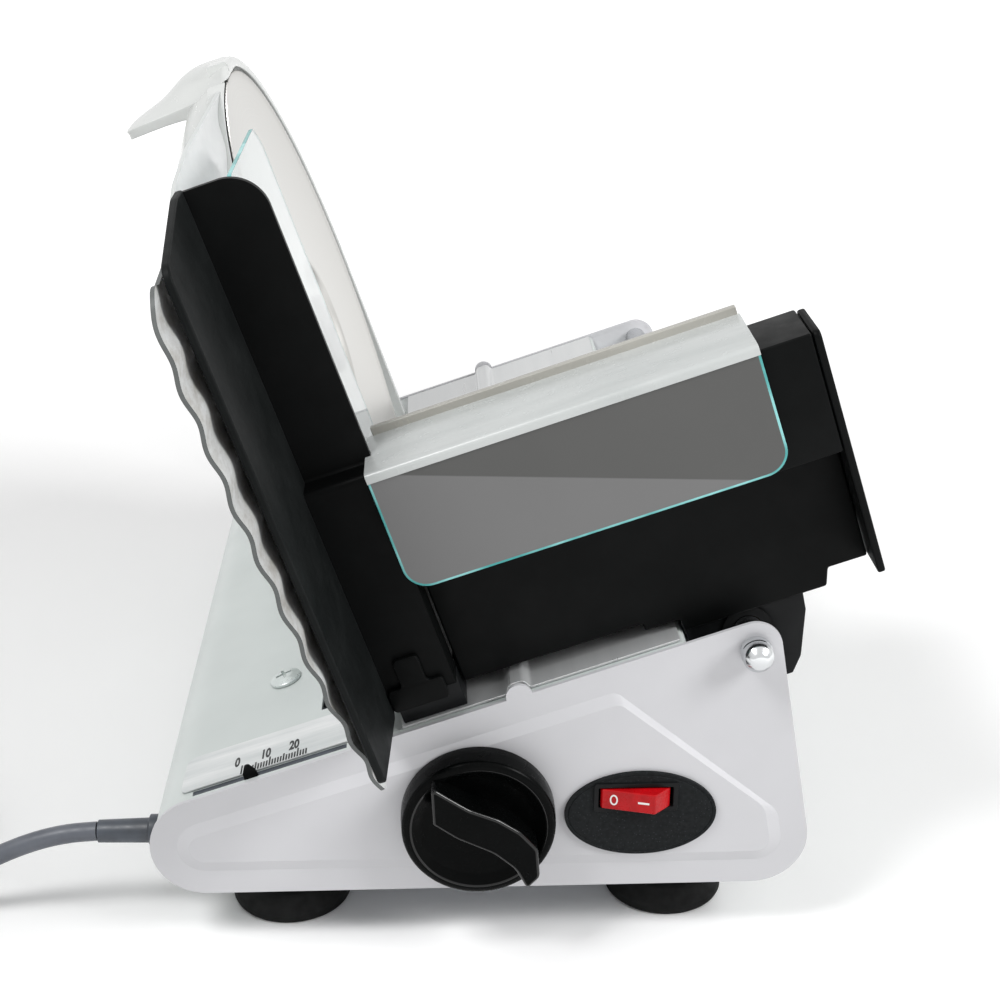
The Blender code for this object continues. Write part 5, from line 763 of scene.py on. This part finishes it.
def fasteners():
    """The pan head screw of the cover, and the slide rod with its dome nuts."""
    head = lathe([(0, 1.9, 0), (3.2, 1.75, 1.2), (5.8, 0.5, 0.5), (5.8, -0.5, 0.1), (2, -0.5, 0),
                  (2, -8.5, 0), (0, -9, 0)], 64)
    place = SLOPED @ Matrix.Translation((-0.0859, 0.066, 0))
    settle(head, place)
    long, short = 3.0, 0.55
    arm = [(short, short, 0), (short, long, 0), (-short, long, 0)]
    cross = []
    for _ in range(4):
        cross += arm
        arm = [(-y, x, 0) for x, y, _ in arm]
    recess = slab([cross], 0.7, 3)
    settle(recess, place @ Matrix.Rotation(0.3, 4, "Z"))
    piece("pan_head_screw", carve(head, recess), [PLATED_PALE], "base", ["cover_screw"],
          sharp=35)
    rod = lathe([(0, DEPTH + 5.5, 0), (3, DEPTH + 5.5, 0.4), (3, DEPTH - 2.3, 0), (5, DEPTH - 2.3, 0.4),
                 (5, 2.3, 0.4), (3, 2.3, 0), (3, -5.5, 0.4), (0, -5.5, 0)], 48)
    settle(rod, on_rod(0) @ ALONG_Y)
    piece("ground_slide_rod", rod, [BAR_STEEL], "base", ["slide_rod"], sharp=40)
    for side, y, turn in (("front", 0, UPRIGHT), ("back", DEPTH, ALONG_Y)):
        nut = lathe([(0, 9, 0), (2.6, 8.7, 2.4), (5.0, 6.2, 2.6), (5.0, 3.2, 0.3), (5.2, 2.8, 0.2),
                     (5.2, 0.3, 0.2), (3.3, 0.3, 0), (3.3, 6.1, 0), (0, 6.1, 0)], 64)
        settle(nut, on_rod(y) @ turn)
        piece("dome_nut_" + side, nut, [BAR_STEEL], "base", ["rod_nut_" + side],
              sharp=35)


def carve(shape, tool):
    """The shape with the tool taken out of it."""
    things = []
    for name, item in (("carved", shape), ("tool", tool)):
        mesh = bpy.data.meshes.new(name)
        item.to_mesh(mesh)
        item.free()
        thing = bpy.data.objects.new(name, mesh)
        bpy.context.scene.collection.objects.link(thing)
        things.append(thing)
    cut = things[0].modifiers.new("cut", "BOOLEAN")
    cut.object = things[1]
    cut.operation = "DIFFERENCE"
    cut.solver = "EXACT"
    bpy.context.view_layer.update()
    mesh = bpy.data.meshes.new_from_object(things[0].evaluated_get(bpy.context.evaluated_depsgraph_get()))
    result = bmesh.new()
    result.from_mesh(mesh)
    for thing in things:
        bpy.data.objects.remove(thing, do_unlink=True)
    return result


# Knob, pointer and switch

# The grip's outline about the knob's axis: a band from the upper left to the lower right, like a flat S
GRIP = [(-15.6, 20.6, 1.2), (-15.0, 6.6, 1.2), (-7.4, 1.0, 12), (4.6, -5.0, 14), (11.6, -11.2, 10),
        (15.6, -19.0, 1.2), (19.8, -14.5, 3), (19.0, -3.6, 4), (13.4, 3.0, 10), (6.3, 8.0, 14),
        (-3.2, 12.0, 12), (-9.6, 16.4, 10)]


def knob():
    """The knob: a skirt, a rounded rim, a dished face and a tall S shaped grip."""
    place = BASE @ Matrix.Translation((-0.0016, 0, 0.0511)) @ UPRIGHT
    body = lathe([(0, 6.9, 0), (12, 7.0, 6), (19.0, 8.0, 4), (22.6, 10.6, 1.6), (25.3, 9.8, 1.8),
                  (25.6, 4.0, 1.2), (25.6, 0.3, 0.3), (4.3, 0.3, 0), (4.3, 6.2, 0), (0, 6.2, 0)])
    # two thin rings on the rim are burnished
    for face in body.faces:
        middle = face.calc_center_median()
        reach = middle.xy.length
        face.material_index = 1 if middle.z > 9.4 and (21.8 < reach < 22.5 or 24.9 < reach < 25.3) else 0
    piece("knob_body", settle(body, place), [PHENOLIC, BURNISHED], "knob",
          ["thickness_knob"], sharp=40)
    grip = slab([GRIP], 4.0, 17.2, steps=6)
    piece("knob_grip", settle(grip, place), [PHENOLIC, BURNISHED], "knob", ease=0.9,
          bend=50, worn=1)


def pointer():
    """The black pointer, whose rounded tip stands in the slot beside the scale."""
    moulded("thickness_pointer", CHARCOAL, "pointer", 0.2)
    tip = slab([[(-2.4, -1.2, 0), (2.4, -1.2, 0), (2.3, 1.4, 1.8), (0.7, 4.1, 1.0), (-0.7, 4.1, 1.0),
                 (-2.3, 1.4, 1.8)]], -6.35, -4.95)
    settle(tip, SLOPED @ Matrix.Translation((-0.0935, 0, 0)) @ UPRIGHT)
    piece("pointer_tip", tip, [BLACK_ABS], "pointer", ease=0.3)


def switch():
    """The oval plate with its rolled rim, the frame in it, and the rocker with its two marks."""
    shape = bmesh.new()
    ring(shape, (52.6, 50.0), 25.4, 16.0, -0.5, 96)
    bmesh.ops.edgenet_fill(shape, edges=shape.edges[:])
    # the rolled rim, step by step from its foot: each step rises or is drawn in
    for rise, shrink in ((1.2, 0.0), (0.55, 0.45), (0.0, 0.9), (-0.35, 0.4), (0.0, 0.7), (-0.2, 0.25),
                         (0.2, 0.25)):
        top = max(shape.faces, key=lambda f: f.calc_area())
        if shrink:
            bmesh.ops.inset_region(shape, faces=[top], thickness=shrink, use_even_offset=True)
            top = max(shape.faces, key=lambda f: f.calc_area())
            bmesh.ops.translate(shape, vec=(0, 0, rise), verts=top.verts)
        else:
            lift(shape, [top], rise)
    bmesh.ops.recalc_face_normals(shape, faces=shape.faces)
    low, high, left, right = 52.3, 61.2, 37.7, 63.9
    hole = slab([box(left, low, right, high, 0.8)], -5, 5)
    piece("switch_oval", settle(carve(shape, hole), BASE @ UPRIGHT), [SPECKLED], "base",
          ["switch_plate"], sharp=30)
    inner = box(left + 0.6, low + 0.6, right - 0.6, high - 0.6, 0.5)
    bezel = slab([box(left - 0.9, low - 0.9, right + 0.9, high + 0.9, 1.0), inner], 0.7, 1.9)
    piece("switch_bezel", settle(bezel, BASE @ UPRIGHT), [CHARCOAL], "base", ease=0.35)
    case = slab([box(left + 0.1, 46.5, right - 0.1, high - 0.1), inner], -14, 0.4)
    piece("switch_case", settle(case, BASE @ UPRIGHT), [CHARCOAL], "base",
          ["switch_body"], ease=0.2)
    pivot = BASE @ Matrix.Translation((0.0507, 0.0026, 0.0566)) @ UPRIGHT
    slant = Matrix(((1, 0, 0, 0), (0, 0, 1, 0), (0, -1, 0, 0), (0, 0, 0, 1)))
    rocker = slab([[(-11.7, 3.2, 0.6), (-11.2, 4.4, 0.8), (6.0, 8.9, 0.7), (11.5, 3.9, 0.8), (10.9, -2.0, 0),
                    (4, -5.2, 0), (-4, -5.2, 0), (-10.8, -2.0, 0)]], -3.5, 3.9)
    piece("red_rocker", settle(rocker, pivot @ slant.inverted()), [RED], "rocker",
          ["power_rocker"], ease=0.45, bend=12)
    lean = math.atan2(4.5, 17.2)
    for name, along in (("rocker_mark_off", -7.4), ("rocker_mark_on", 2.2)):
        mark = bmesh.new()
        if name == "rocker_mark_off":
            ring(mark, (0, 0), 1.35, 2.0, 0, 32)
            ring(mark, (0, 0), 0.85, 1.45, 0, 32)
        else:
            trace(mark, box(-1.9, -0.36, 1.9, 0.36, 0.1))
        fill(mark)
        lift(mark, mark.faces[:], 0.08)
        bmesh.ops.recalc_face_normals(mark, faces=mark.faces)
        height = 4.4 + (along + 11.2) * math.tan(lean) + 0.03
        spot = Matrix.Translation((along * MM, 0, height * MM)) @ Matrix.Rotation(-lean, 4, "Y")
        piece(name, settle(mark, pivot @ spot), [WHITE_INK], "rocker", sharp=30)


# Blade, fence and housing

def blade():
    """The round blade with its ground bevel, fine teeth and dished middle."""
    teeth = 240
    shape = lathe([(5.3, -6.6, 0), (26, -6.6, 2.5), (32, -0.8, 3), (107, -0.8, 0), (110, 0, 0),
                   (110, -0.4, 0), (104, -2.4, 0), (32.75, -2.4, 3), (26.75, -8.2, 2.5), (5.3, -8.2, 0)],
                  teeth * 2, True)
    for vert in shape.verts:
        reach = vert.co.xy.length
        step = round(math.atan2(vert.co.y, vert.co.x) / (math.pi / teeth))
        if reach > 109 and step % 2:
            vert.co.x *= 109.2 / reach
            vert.co.y *= 109.2 / reach
    piece("serrated_blade", settle(shape, BLADE), [BLADE_STEEL], "cutter",
          ["blade"], sharp=25)
    cap = lathe([(0, -1.6, 0), (4, -1.5, 1), (12.5, -1.2, 1), (14.8, -1.25, 0.8), (16.5, -2.2, 0.6),
                 (16.5, -6.3, 0.2), (5.3, -6.3, 0), (5.3, -4.5, 0), (0, -4.5, 0)])
    slot = slab([box(-8.25, -1.75, 8.25, 1.75, 1.7)], -2.6, 2)
    rotated(slot, Matrix.Rotation(math.pi / 2, 4, "Z"))
    piece("lock_knob_cap", settle(carve(cap, slot), BLADE), [PHENOLIC], "cutter",
          ["blade_lock_knob"], sharp=35)


def fence():
    """The ribbed sheet beside the blade, waved along its height and cut round the blade."""
    low, high, pitch, wave = 1.5, 190.0, 17.5, 0.65
    # the blade's axis, and the reach of the cut round the blade
    y, n, reach = 190, 82, 110.7
    shape = bmesh.new()
    top = math.pi - math.asin((high - n) / reach)
    foot = math.pi + math.asin((n - low) / reach)
    start = shape.verts.new((y + reach * math.cos(top), n + reach * math.sin(top), 0))
    swept = bmesh.ops.spin(shape, geom=[start], cent=(y, n, 0), axis=(0, 0, 1), angle=foot - top, steps=48)
    last = points(swept["geom_last"])[0]
    trace(shape, [(14, low + 1.5, 0), (-2, low + 1.5, 3), (-32, low, 3), (-40, 22, 20), (-48.6, 46, 30),
                  (-53.5, 72, 40), (-57.6, 112, 40), (-58, 160, 14), (-48.8, 176.5, 9), (-40, 174, 3),
                  (-12, 176, 10), (34, 185, 60), (70, 188.5, 60), (start.co.x, start.co.y, 0)], closed=False)
    corner = min(shape.verts, key=lambda v: (v.co - Vector((14, low + 1.5, 0))).length)
    shape.edges.new((last, corner))
    fill(shape)
    count = math.ceil((high - low) / pitch * 20)
    for step in range(1, count):
        bmesh.ops.bisect_plane(shape, geom=everything(shape), plane_no=(0, 1, 0),
                               plane_co=(0, low + (high - low) * step / count, 0))
    for vert in shape.verts:
        vert.co.z = -44.4 - wave + wave * math.cos(2 * math.pi * vert.co.y / pitch)
    if shape.faces[:][0].normal.z < 0:
        bmesh.ops.reverse_faces(shape, faces=shape.faces)
    settle(shape, SLOPED @ ASIDE)
    piece("ribbed_fence", shape, [FENCE_ALUMINIUM, FENCE_EDGE], "fence", ["fence_plate"],
          wall=1.3, ease=0.2, bend=50, rim=1)


# The housing's arches from the blade backwards, as shares of its depth and of the blade's size:
# depth, shift, half width, rise of the middle, height, and reach of the near and of the far foot
SECTIONS = ((0, 0, 1, 1, 1, 0.64, 1.02),
            (0.107, 0, 1, 1, 1, 0.64, 1.02),
            (0.24, 0, 0.955, 1, 0.963, 0.61, 1),
            (0.42, 0.02, 0.87, 0.93, 0.87, 0.575, 1),
            (0.587, 0.075, 0.76, 0.854, 0.76, 0.45, 0.99),
            (0.752, 0.21, 0.64, 0.732, 0.574, 0.33, 0.97),
            (0.94, 0.39, 0.536, 0.56, 0.407, 0.15, 0.926))


def arch(shape, row, shrink=0.0):
    """One arch of the housing with its two legs, drawn with Y and the slope's Z, at its depth."""
    depth, shift, half, rise, height, near, far = row
    y, n = 190 + 108 * shift, 82 * rise
    start = shape.verts.new((y - 108 * half + shrink, n, 0))
    swept = bmesh.ops.spin(shape, geom=[start], cent=(y, n, 0), axis=(0, 0, 1), angle=-math.pi, steps=44)
    last = points(swept["geom_last"])[0]
    made = list({vert for edge in shape.edges if edge.is_wire for vert in edge.verts})
    fresh = [vert for vert in made if vert.tag is False]
    wide = 108 * half - shrink
    bmesh.ops.scale(shape, vec=(1, (108 * height - shrink) / wide, 1), verts=fresh,
                    space=Matrix.Translation((-y, -n, 0)))
    feet = []
    for vert, foot in ((start, 190 - 108 * near + shrink), (last, 190 + 108 * far - shrink)):
        end = shape.verts.new((foot, -0.5, 0))
        middle = shape.verts.new((vert.co + end.co) / 2)
        shape.edges.new((vert, middle))
        shape.edges.new((middle, end))
        feet += [middle, end]
    fresh += feet
    bmesh.ops.translate(shape, vec=(0, 0, -46.5 - 60.5 * depth), verts=fresh)
    for vert in fresh:
        vert.tag = True
    return fresh


def housing():
    """The arched housing, lofted from arch to arch, with its beak shaped lug."""
    shape = bmesh.new()
    rows = [arch(shape, row) for row in SECTIONS]
    last = (1.0,) + SECTIONS[-1][1:]
    rows.append(arch(shape, last, 5.0))
    for first, second in zip(rows, rows[1:]):
        edges = [e for e in shape.edges if e.is_wire or e.is_boundary]
        near, far = set(first), set(second)
        picked = [e for e in edges if any(e.verts[0] in row and e.verts[1] in row for row in (near, far))]
        bmesh.ops.bridge_loops(shape, edges=picked)
    closing = set(rows[-1])
    bmesh.ops.contextual_create(shape, geom=[e for e in shape.edges if all(v in closing for v in e.verts)])
    turn_out(shape, 1, pick=lambda face: face.calc_center_median().y)
    settle(shape, SLOPED @ ASIDE)
    piece("arched_housing", shape, [WHITE_ABS], "base", ["tower_housing"], wall=2.5,
          ease=1.2, bend=40)
    lug()


# The lug's sections from its tip to the crown: place along the slope, front edge, its height, ridge,
# its height, thickness and back edge
LUG_SECTIONS = ((-88.4, 187.0, 184.4, 194, 185.0, 3.4, 200), (-86.0, 184.5, 185.4, 198, 186.6, 3.8, 206),
                (-80.0, 182.5, 186.0, 203, 188.2, 4.0, 213), (-73.0, 182.0, 186.3, 205, 190.2, 4.0, 218),
                (-67.0, 181.5, 186.6, 206, 193.8, 4.4, 223), (-62.0, 181.2, 187.0, 206, 196.4, 5.0, 226),
                (-56.0, 180.5, 187.4, 205, 197.9, 8.0, 230), (-50.0, 178.0, 188.4, 203, 197.9, 10.0, 230),
                (-46.0, 175.0, 190.6, 202, 197.7, 5.0, 224), (-44.0, 174.6, 192.0, 200, 197.6, 0.6, 214),
                (-41.8, 176.0, 192.4, 200, 197.3, 0.6, 212))


def lug():
    """The lug on the housing's crown, which narrows to a beak that looks left and down."""
    shape = bmesh.new()
    for a, front, edge, ridge, top, deep, back in LUG_SECTIONS:
        slim = (top - edge) / 3
        corners = [(front, edge), ((front + ridge) / 2, (edge + top) / 2 + slim), (ridge, top),
                   ((ridge + back) / 2, (edge + top) / 2 + slim), (back, edge), (back - 1, edge - deep),
                   (ridge, edge - deep + 0.8), (front + 0.8, edge - deep)]
        trace(shape, [(y, n, 0) for y, n in corners], height=a)
    bmesh.ops.bridge_loops(shape, edges=shape.edges[:])
    ends = [edge for edge in shape.edges if edge.is_boundary]
    bmesh.ops.edgenet_fill(shape, edges=ends)
    bmesh.ops.recalc_face_normals(shape, faces=shape.faces)
    settle(shape, SLOPED @ ASIDE)
    piece("beak_lug", shape, [WHITE_ABS], "base", ease=0.7, bend=50, smooth=2)


def blade_backing():
    """The housing's own rim behind the open part of the blade's edge."""
    start, turn = math.radians(98), math.radians(124)
    shape = bmesh.new()
    trace(shape, [(104, -7.6, 0), (110.5, -7.6, 0), (110.5, -0.7, 0.2), (109.6, -1.0, 0), (104, -2.9, 0.3)],
          steps=3)
    rotated(shape, UPRIGHT)
    rotated(shape, Matrix.Rotation(start, 4, "Z"))
    section = bmesh.ops.edgenet_fill(shape, edges=shape.edges[:])["faces"]
    bmesh.ops.spin(shape, geom=shape.verts[:] + shape.edges[:] + section, cent=(0, 0, 0), axis=(0, 0, 1),
                   angle=turn, steps=90)
    bmesh.ops.recalc_face_normals(shape, faces=shape.faces)
    settle(shape, BLADE_MIDDLE @ ASIDE)
    piece("blade_backing", shape, [WHITE_ABS], "base", sharp=35)


def guard_ring():
    """The thin ring over the back of the blade, with a lip behind it."""
    sweep = math.radians(92)
    shape = bmesh.new()
    trace(shape, [(110.3 - 2, -7.6, 0), (115.5, -7.6, 0.8), (115.5, 0.8, 1.4), (111.2, 0.8, 0.7),
                  (111.2, -3.6, 0), (108.3, -3.6, 0)], steps=4)
    rotated(shape, UPRIGHT)
    rotated(shape, Matrix.Rotation(sweep, 4, "Z"))
    bmesh.ops.edgenet_fill(shape, edges=shape.edges[:])
    made = bmesh.ops.spin(shape, geom=everything(shape), cent=(0, 0, 0), axis=(0, 0, 1), angle=-sweep,
                          steps=72)["geom_last"]
    face = [item for item in made if isinstance(item, bmesh.types.BMFace)]
    leg = bmesh.ops.extrude_face_region(shape, geom=face)["geom"]
    bmesh.ops.delete(shape, geom=face, context="FACES_ONLY")
    bmesh.ops.translate(shape, vec=(0, -82.5, 0), verts=points(leg))
    bmesh.ops.recalc_face_normals(shape, faces=shape.faces)
    settle(shape, BLADE_MIDDLE @ ASIDE)
    piece("guard_ring", shape, [WHITE_ABS], "base", ["blade_guard"], sharp=35)


# Food carriage and pusher

def carriage():
    """The hand guard with its wing and flank, the wall and table, the blocks, bushes and the rod's wiper."""
    left, right, wall = -42.0, -17.3, 2.5
    wing = slab([[(-49, 14, 2.5), (-2.5, 8, 0), (11.7, 11.4, 0), (11.7, 187, 2.5), (0, 187, 12),
                  (-45, 178, 6)]], left, left + wall)
    piece("guard_wing", settle(wing, SLOPED @ ASIDE), [WING_ABS_PAINTED_LIGHT], "carriage",
          ["hand_guard"], ease=0.7)
    path = [(12, 12, 0), (0, 12, 1.6), (0, 90, 2.2), (9.5, 90, 1.2), (9.5, 186.2, 0)]
    skin = strip(path, left + wall / 2, right)
    round_corner(skin, (right - 12, 186.2 - 12), 12, 0, 90, (2, 1))
    turn_out(skin, 0, -1)
    piece("guard_skin", settle(skin, SLOPED @ ASIDE), [BLACK_ABS], "carriage",
          wall=2.5, ease=0.5)
    flank = slab([box(2.3, 12.4, 13.6, 47.6)], right - 2.2, right - 0.2)
    piece("guard_flank", settle(flank, SLOPED @ ASIDE), [BLACK_ABS], "carriage",
          ease=0.3)
    moulded("guard_clip", BLACK_ABS, "carriage", 0.4)
    for node, ease in (("carriage_wall", 0.8), ("carriage_end_plate", 0.7), ("food_table", 0.8)):
        moulded(node, BLACK_ABS, "carriage", ease)
    for node in ("slide_shoe", "slide_block_front", "slide_block_rear"):
        moulded(node, CHARCOAL, "carriage", 0.5)
    wiper = lathe([(5.2, 0.7, 0.1), (8.2, 0.7, 0.3), (8.2, 0, 0), (5.2, 0, 0)], 48, True)
    settle(wiper, on_rod(14.1) @ ALONG_Y)
    piece("rod_wiper", wiper, [RUBBER], "carriage", sharp=35)
    for node, y in (("slide_bush_front", 15), ("slide_bush_rear", 95)):
        bush = lathe([(5.3, 40, 0.4), (7, 40, 0.3), (7, 0, 0.3), (5.3, 0, 0.4)], 48, True)
        settle(bush, on_rod(y) @ ALONG_Y)
        piece(node + "_turned", bush, [BRONZE], "carriage", [node], sharp=35)


def framed(shape, width):
    """Gives a slab's two faces a border that shares the finish of its sides."""
    for face in shape.faces:
        face.material_index = 0 if abs(face.normal.z) > 0.5 else 1
    broad = [face for face in shape.faces if not face.material_index]
    made = bmesh.ops.inset_region(shape, faces=broad, thickness=width, use_even_offset=True)["faces"]
    for face in made:
        face.material_index = 1
    return shape


def pusher():
    """The saddle over the wall, with a painted reflection in front and a filmed ledge on top, and the plate
    that presses the food.
    """
    left, right = -19, 104
    panel = framed(slab([box(left, 50.2, right, 89.7, (7.8, 7.8, 0, 0))], 2.0, 5.0), 0.8)
    piece("pusher_panel", settle(panel, SLOPED @ UPRIGHT), [ACRYLIC_PAINTED_REFLECTION, CUT_EDGE], "pusher",
          ["pusher_saddle"], ease=0.25)
    ledge = strip([(-5.3, 88.6, 0), (-5.3, 91.8, 1.7), (29, 91.8, 2.8), (29, 78.3, 0)], left - 0.1,
                  right + 0.1)
    turn_out(ledge, 1)
    piece("pusher_ledge", settle(ledge, SLOPED @ ASIDE), [LEDGE_ACRYLIC], "pusher", wall=3.3,
          ease=0.25)
    lip = slab([box(26.4, 91.3, 29, 94.4, (0, 0, 0.5, 0.5))], left + 2, right - 0.5)
    piece("pusher_lip", settle(lip, SLOPED @ ASIDE), [LIP_ACRYLIC], "pusher", ease=0.3)
    plate = slab([[(26.3, 17.6, 0), (95, 17.6, 3.5), (95, 178, 7), (88, 185, 3.5), (13, 185, 7),
                   (13, 91.5, 0), (26.3, 91.5, 0)]], -27.6, -26.1)
    for face in plate.faces:
        face.material_index = 1 if abs(face.normal.z) < 0.5 else 0
    piece("press_plate", settle(plate, SLOPED @ ASIDE), [ACRYLIC, CUT_EDGE], "pusher",
          ["pusher_press_plate"], ease=0.2)


# Mains cord

def cord_route():
    """The cord's centreline: out of the gland, down to the table, and round the coil to the plug."""
    first, last, reach = Vector((-132, 20, 33)), Vector((-223.1, 20, 3.4)), Vector((36.44, 0, 0))
    route = []
    for step in range(17):
        t = step / 16
        route.append(first * (1 - t) ** 3 + (first - reach) * 3 * t * (1 - t) ** 2
                     + (last + reach) * 3 * t * t * (1 - t) + last * t ** 3)
    # the coil winds inwards on the table, climbs one layer at half its turns and winds out again
    centre, all_turns, layer, inmost = Vector((-230, 62.6375, 3.4)), 5.25, 7.1, 24
    for step in range(127):
        turns = all_turns * step / 126
        past = turns - all_turns / 2
        radius = inmost + layer * abs(past)
        climb = min(max(past * 2 + 0.5, 0), 1)
        angle = -math.pi / 2 - 2 * math.pi * turns
        route.append(centre + Vector((radius * math.cos(angle), radius * math.sin(angle), layer * climb)))
    for ahead in (6.6, 15, 15):
        route.append(route[-1] + Vector((0, ahead, 0)))
    return route


def cord():
    """The cord along its route, with the gland's sleeve and the plug."""
    route = [BASE @ (point * MM) for point in cord_route()]
    curve = bpy.data.curves.new("mains_cord", "CURVE")
    curve.dimensions = "3D"
    curve.bevel_depth = 0.0033
    curve.bevel_resolution = 4
    curve.use_fill_caps = True
    spline = curve.splines.new("NURBS")
    spline.points.add(len(route) - 1)
    for knot, place in zip(spline.points, route):
        knot.co = (*place, 1)
    spline.order_u = 3
    spline.use_endpoint_u = True
    spline.resolution_u = 3
    curve.materials.append(SHEATH)
    lead = bpy.data.objects.new("mains_cord", curve)
    bpy.context.scene.collection.objects.link(lead)
    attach(lead, "base")
    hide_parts("cord_lead", "cord_coil")
    gland = lathe([(3.45, 21.3, 0.2), (3.9, 21.5, 0.2), (4.3, 4.0, 0.4), (5.5, 3.6, 0.4), (5.5, 0.2, 0.3),
                   (4.0, 0.2, 0), (4.0, -6, 0.3), (3.45, -6, 0)], 48, True)
    # where the gland's foot meets the round nose
    wall_x = -92.5 - math.sqrt(18.5 ** 2 - 5.5 ** 2)
    place = BASE @ Matrix.Translation((wall_x * MM, 0.020, 0.033))
    settle(gland, place @ Matrix.Rotation(-math.pi / 2, 4, "Y"))
    piece("gland_sleeve", gland, [SLEEVE], "base", ["cord_gland"], sharp=35)
    plug = plug_body(route[-1])


def plug_body(end):
    """The moulded plug: a waisted body, a ribbed neck and two pins."""
    place = Matrix.Translation(end) @ Matrix.Translation((0, -0.0300, 0))
    # the waist, then the broad end that the hand holds
    body = slab([[(-5.5, 38, 0), (5.5, 38, 0), (17, 56, 6), (17, 74, 1.8), (-17, 74, 1.8), (-17, 56, 6)]],
                -10, 10)
    bodies = [piece("plug_body", settle(body, place), [RUBBER], "base", ["cord_plug"],
                    ease=3.0, bend=40)]
    neck = lathe([(3.35, 23.5, 0), (3.9, 23.4, 0.2), (4.3, 27, 0.5), (3.9, 28, 0.5), (4.7, 31, 0.5),
                  (4.3, 32, 0.5), (5.3, 35, 0.5), (5.0, 36, 0.5), (5.6, 39.8, 0.5), (3.35, 39.8, 0)], 48,
                 True)
    settle(neck, place @ ALONG_Y)
    bodies.append(piece("plug_neck", neck, [RUBBER], "base", sharp=50))
    pins = bmesh.new()
    for side in (-1, 1):
        pin = lathe([(0, 93, 0), (1.6, 92.8, 0.9), (2.4, 90.5, 0.8), (2.4, 72, 0), (0, 72, 0)], 32)
        bmesh.ops.translate(pin, vec=(side * 9.5, 0, 0), verts=pin.verts)
        pin.verts.index_update()
        mesh = bpy.data.meshes.new("pin")
        pin.to_mesh(mesh)
        pin.free()
        pins.from_mesh(mesh)
        bpy.data.meshes.remove(mesh)
    settle(pins, place @ ALONG_Y)
    bodies.append(piece("plug_pins", pins, [BAR_STEEL], "base", sharp=35))
    return bodies


# Solids that stay as they are, with their real finishes

def inner_finishes():
    """Gives the solids that no piece replaces the finish of what they are made of."""
    finishes = {
        ZINC: ("knob_shaft", "knob_bracket", "bracket_screw_1", "bracket_screw_2", "fence_bracket",
               "guide_rod_1", "guide_rod_2", "blade_shaft", "motor_rotor", "motor_can", "motor_bracket"),
        BRONZE: ("knob_bush", "blade_bearing"),
        CHARCOAL: ("fence_slider", "guide_hanger_left", "guide_hanger_right"),
        NYLON: ("worm_wheel",),
        BLACK_ABS: ("motor_end_cap",),
        SHADED_PANEL_STEEL: ("housing_front_plate",),
    }
    for finish, nodes in finishes.items():
        for node in nodes:
            for slot in NODES[node].material_slots:
                slot.material = finish


# Studio

def background_ray(tree):
    """1 for what the camera, reflections and clear plastic see, and 0 for what lights the slicer."""
    path = add_node(tree, "ShaderNodeLightPath")
    seen = path.outputs["Is Camera Ray"]
    for ray in ("Is Glossy Ray", "Is Transmission Ray"):
        seen = combined(tree, seen, path.outputs[ray], "MAXIMUM")
    return seen


def studio():
    """White paper, an even sky and two soft lamps above the front, so that shadows fall behind the slicer."""
    scene = bpy.context.scene
    scene.view_settings.view_transform = "Standard"
    world = bpy.data.worlds.new("studio")
    world.use_nodes = True
    scene.world = world
    tree = world.node_tree
    sky = tree.nodes["Background"]
    sky.inputs["Color"].default_value = (1, 1, 1, 1)
    tree.links.new(spread(tree, background_ray(tree), 0.42, 1.0, 0, 1), sky.inputs["Strength"])
    aim = Vector((0, 0, 0.1))
    for name, place, power in (("key_lamp", (-0.8, -0.6, 1.4), 13), ("fill_lamp", (1.0, -0.6, 0.9), 12)):
        lamp = bpy.data.lights.new(name, "AREA")
        lamp.size = 0.5
        lamp.energy = power
        thing = bpy.data.objects.new(name, lamp)
        away = aim - Vector(place)
        thing.matrix_world = Matrix.Translation(place) @ away.to_track_quat("-Z", "Y").to_matrix().to_4x4()
        scene.collection.objects.link(thing)
    shape = bmesh.new()
    bmesh.ops.create_grid(shape, x_segments=1, y_segments=1, size=6)
    bmesh.ops.translate(shape, vec=(0, 0, -0.0004), verts=shape.verts)
    mesh = bpy.data.meshes.new("paper_floor")
    shape.to_mesh(mesh)
    shape.free()
    floor = bpy.data.objects.new("paper_floor", mesh)
    scene.collection.objects.link(floor)
    # White studio paper: matt, with a very faint tooth
    material, tree, shader, place = start_finish("studio_paper", "F4F4F4", 0.9, Specular_IOR_Level=0.1)
    tree.links.new(tint(tree, noise(tree, place, 60, 3), "F5F5F5", "F2F2F2"), shader.inputs["Base Color"])
    # to the camera the paper is a little brighter than it is to the slicer, shadows and all
    seen = background_ray(tree)
    extra = add_node(tree, "ShaderNodeBsdfDiffuse", links={"Color": spread(tree, seen, 0, 0.12, 0, 1)})
    both = add_node(tree, "ShaderNodeAddShader", links={0: shader.outputs[0], 1: extra.outputs[0]})
    # far from the slicer, where the lamps hardly reach, the paper is lit up to white
    far = combined(tree, spread(tree, length_of(tree, place), 0, 0.7, 330, 1000), seen, "MULTIPLY")
    glow = add_node(tree, "ShaderNodeEmission", links={"Strength": far})
    both = add_node(tree, "ShaderNodeAddShader", links={0: both.outputs[0], 1: glow.outputs[0]})
    tree.links.new(both.outputs[0], tree.nodes["Material Output"].inputs["Surface"])
    mesh.materials.append(material)


camera()
cord()
base()
track()
scale()
fasteners()
knob()
pointer()
switch()
blade()
fence()
housing()
blade_backing()
guard_ring()
carriage()
pusher()
inner_finishes()
studio()
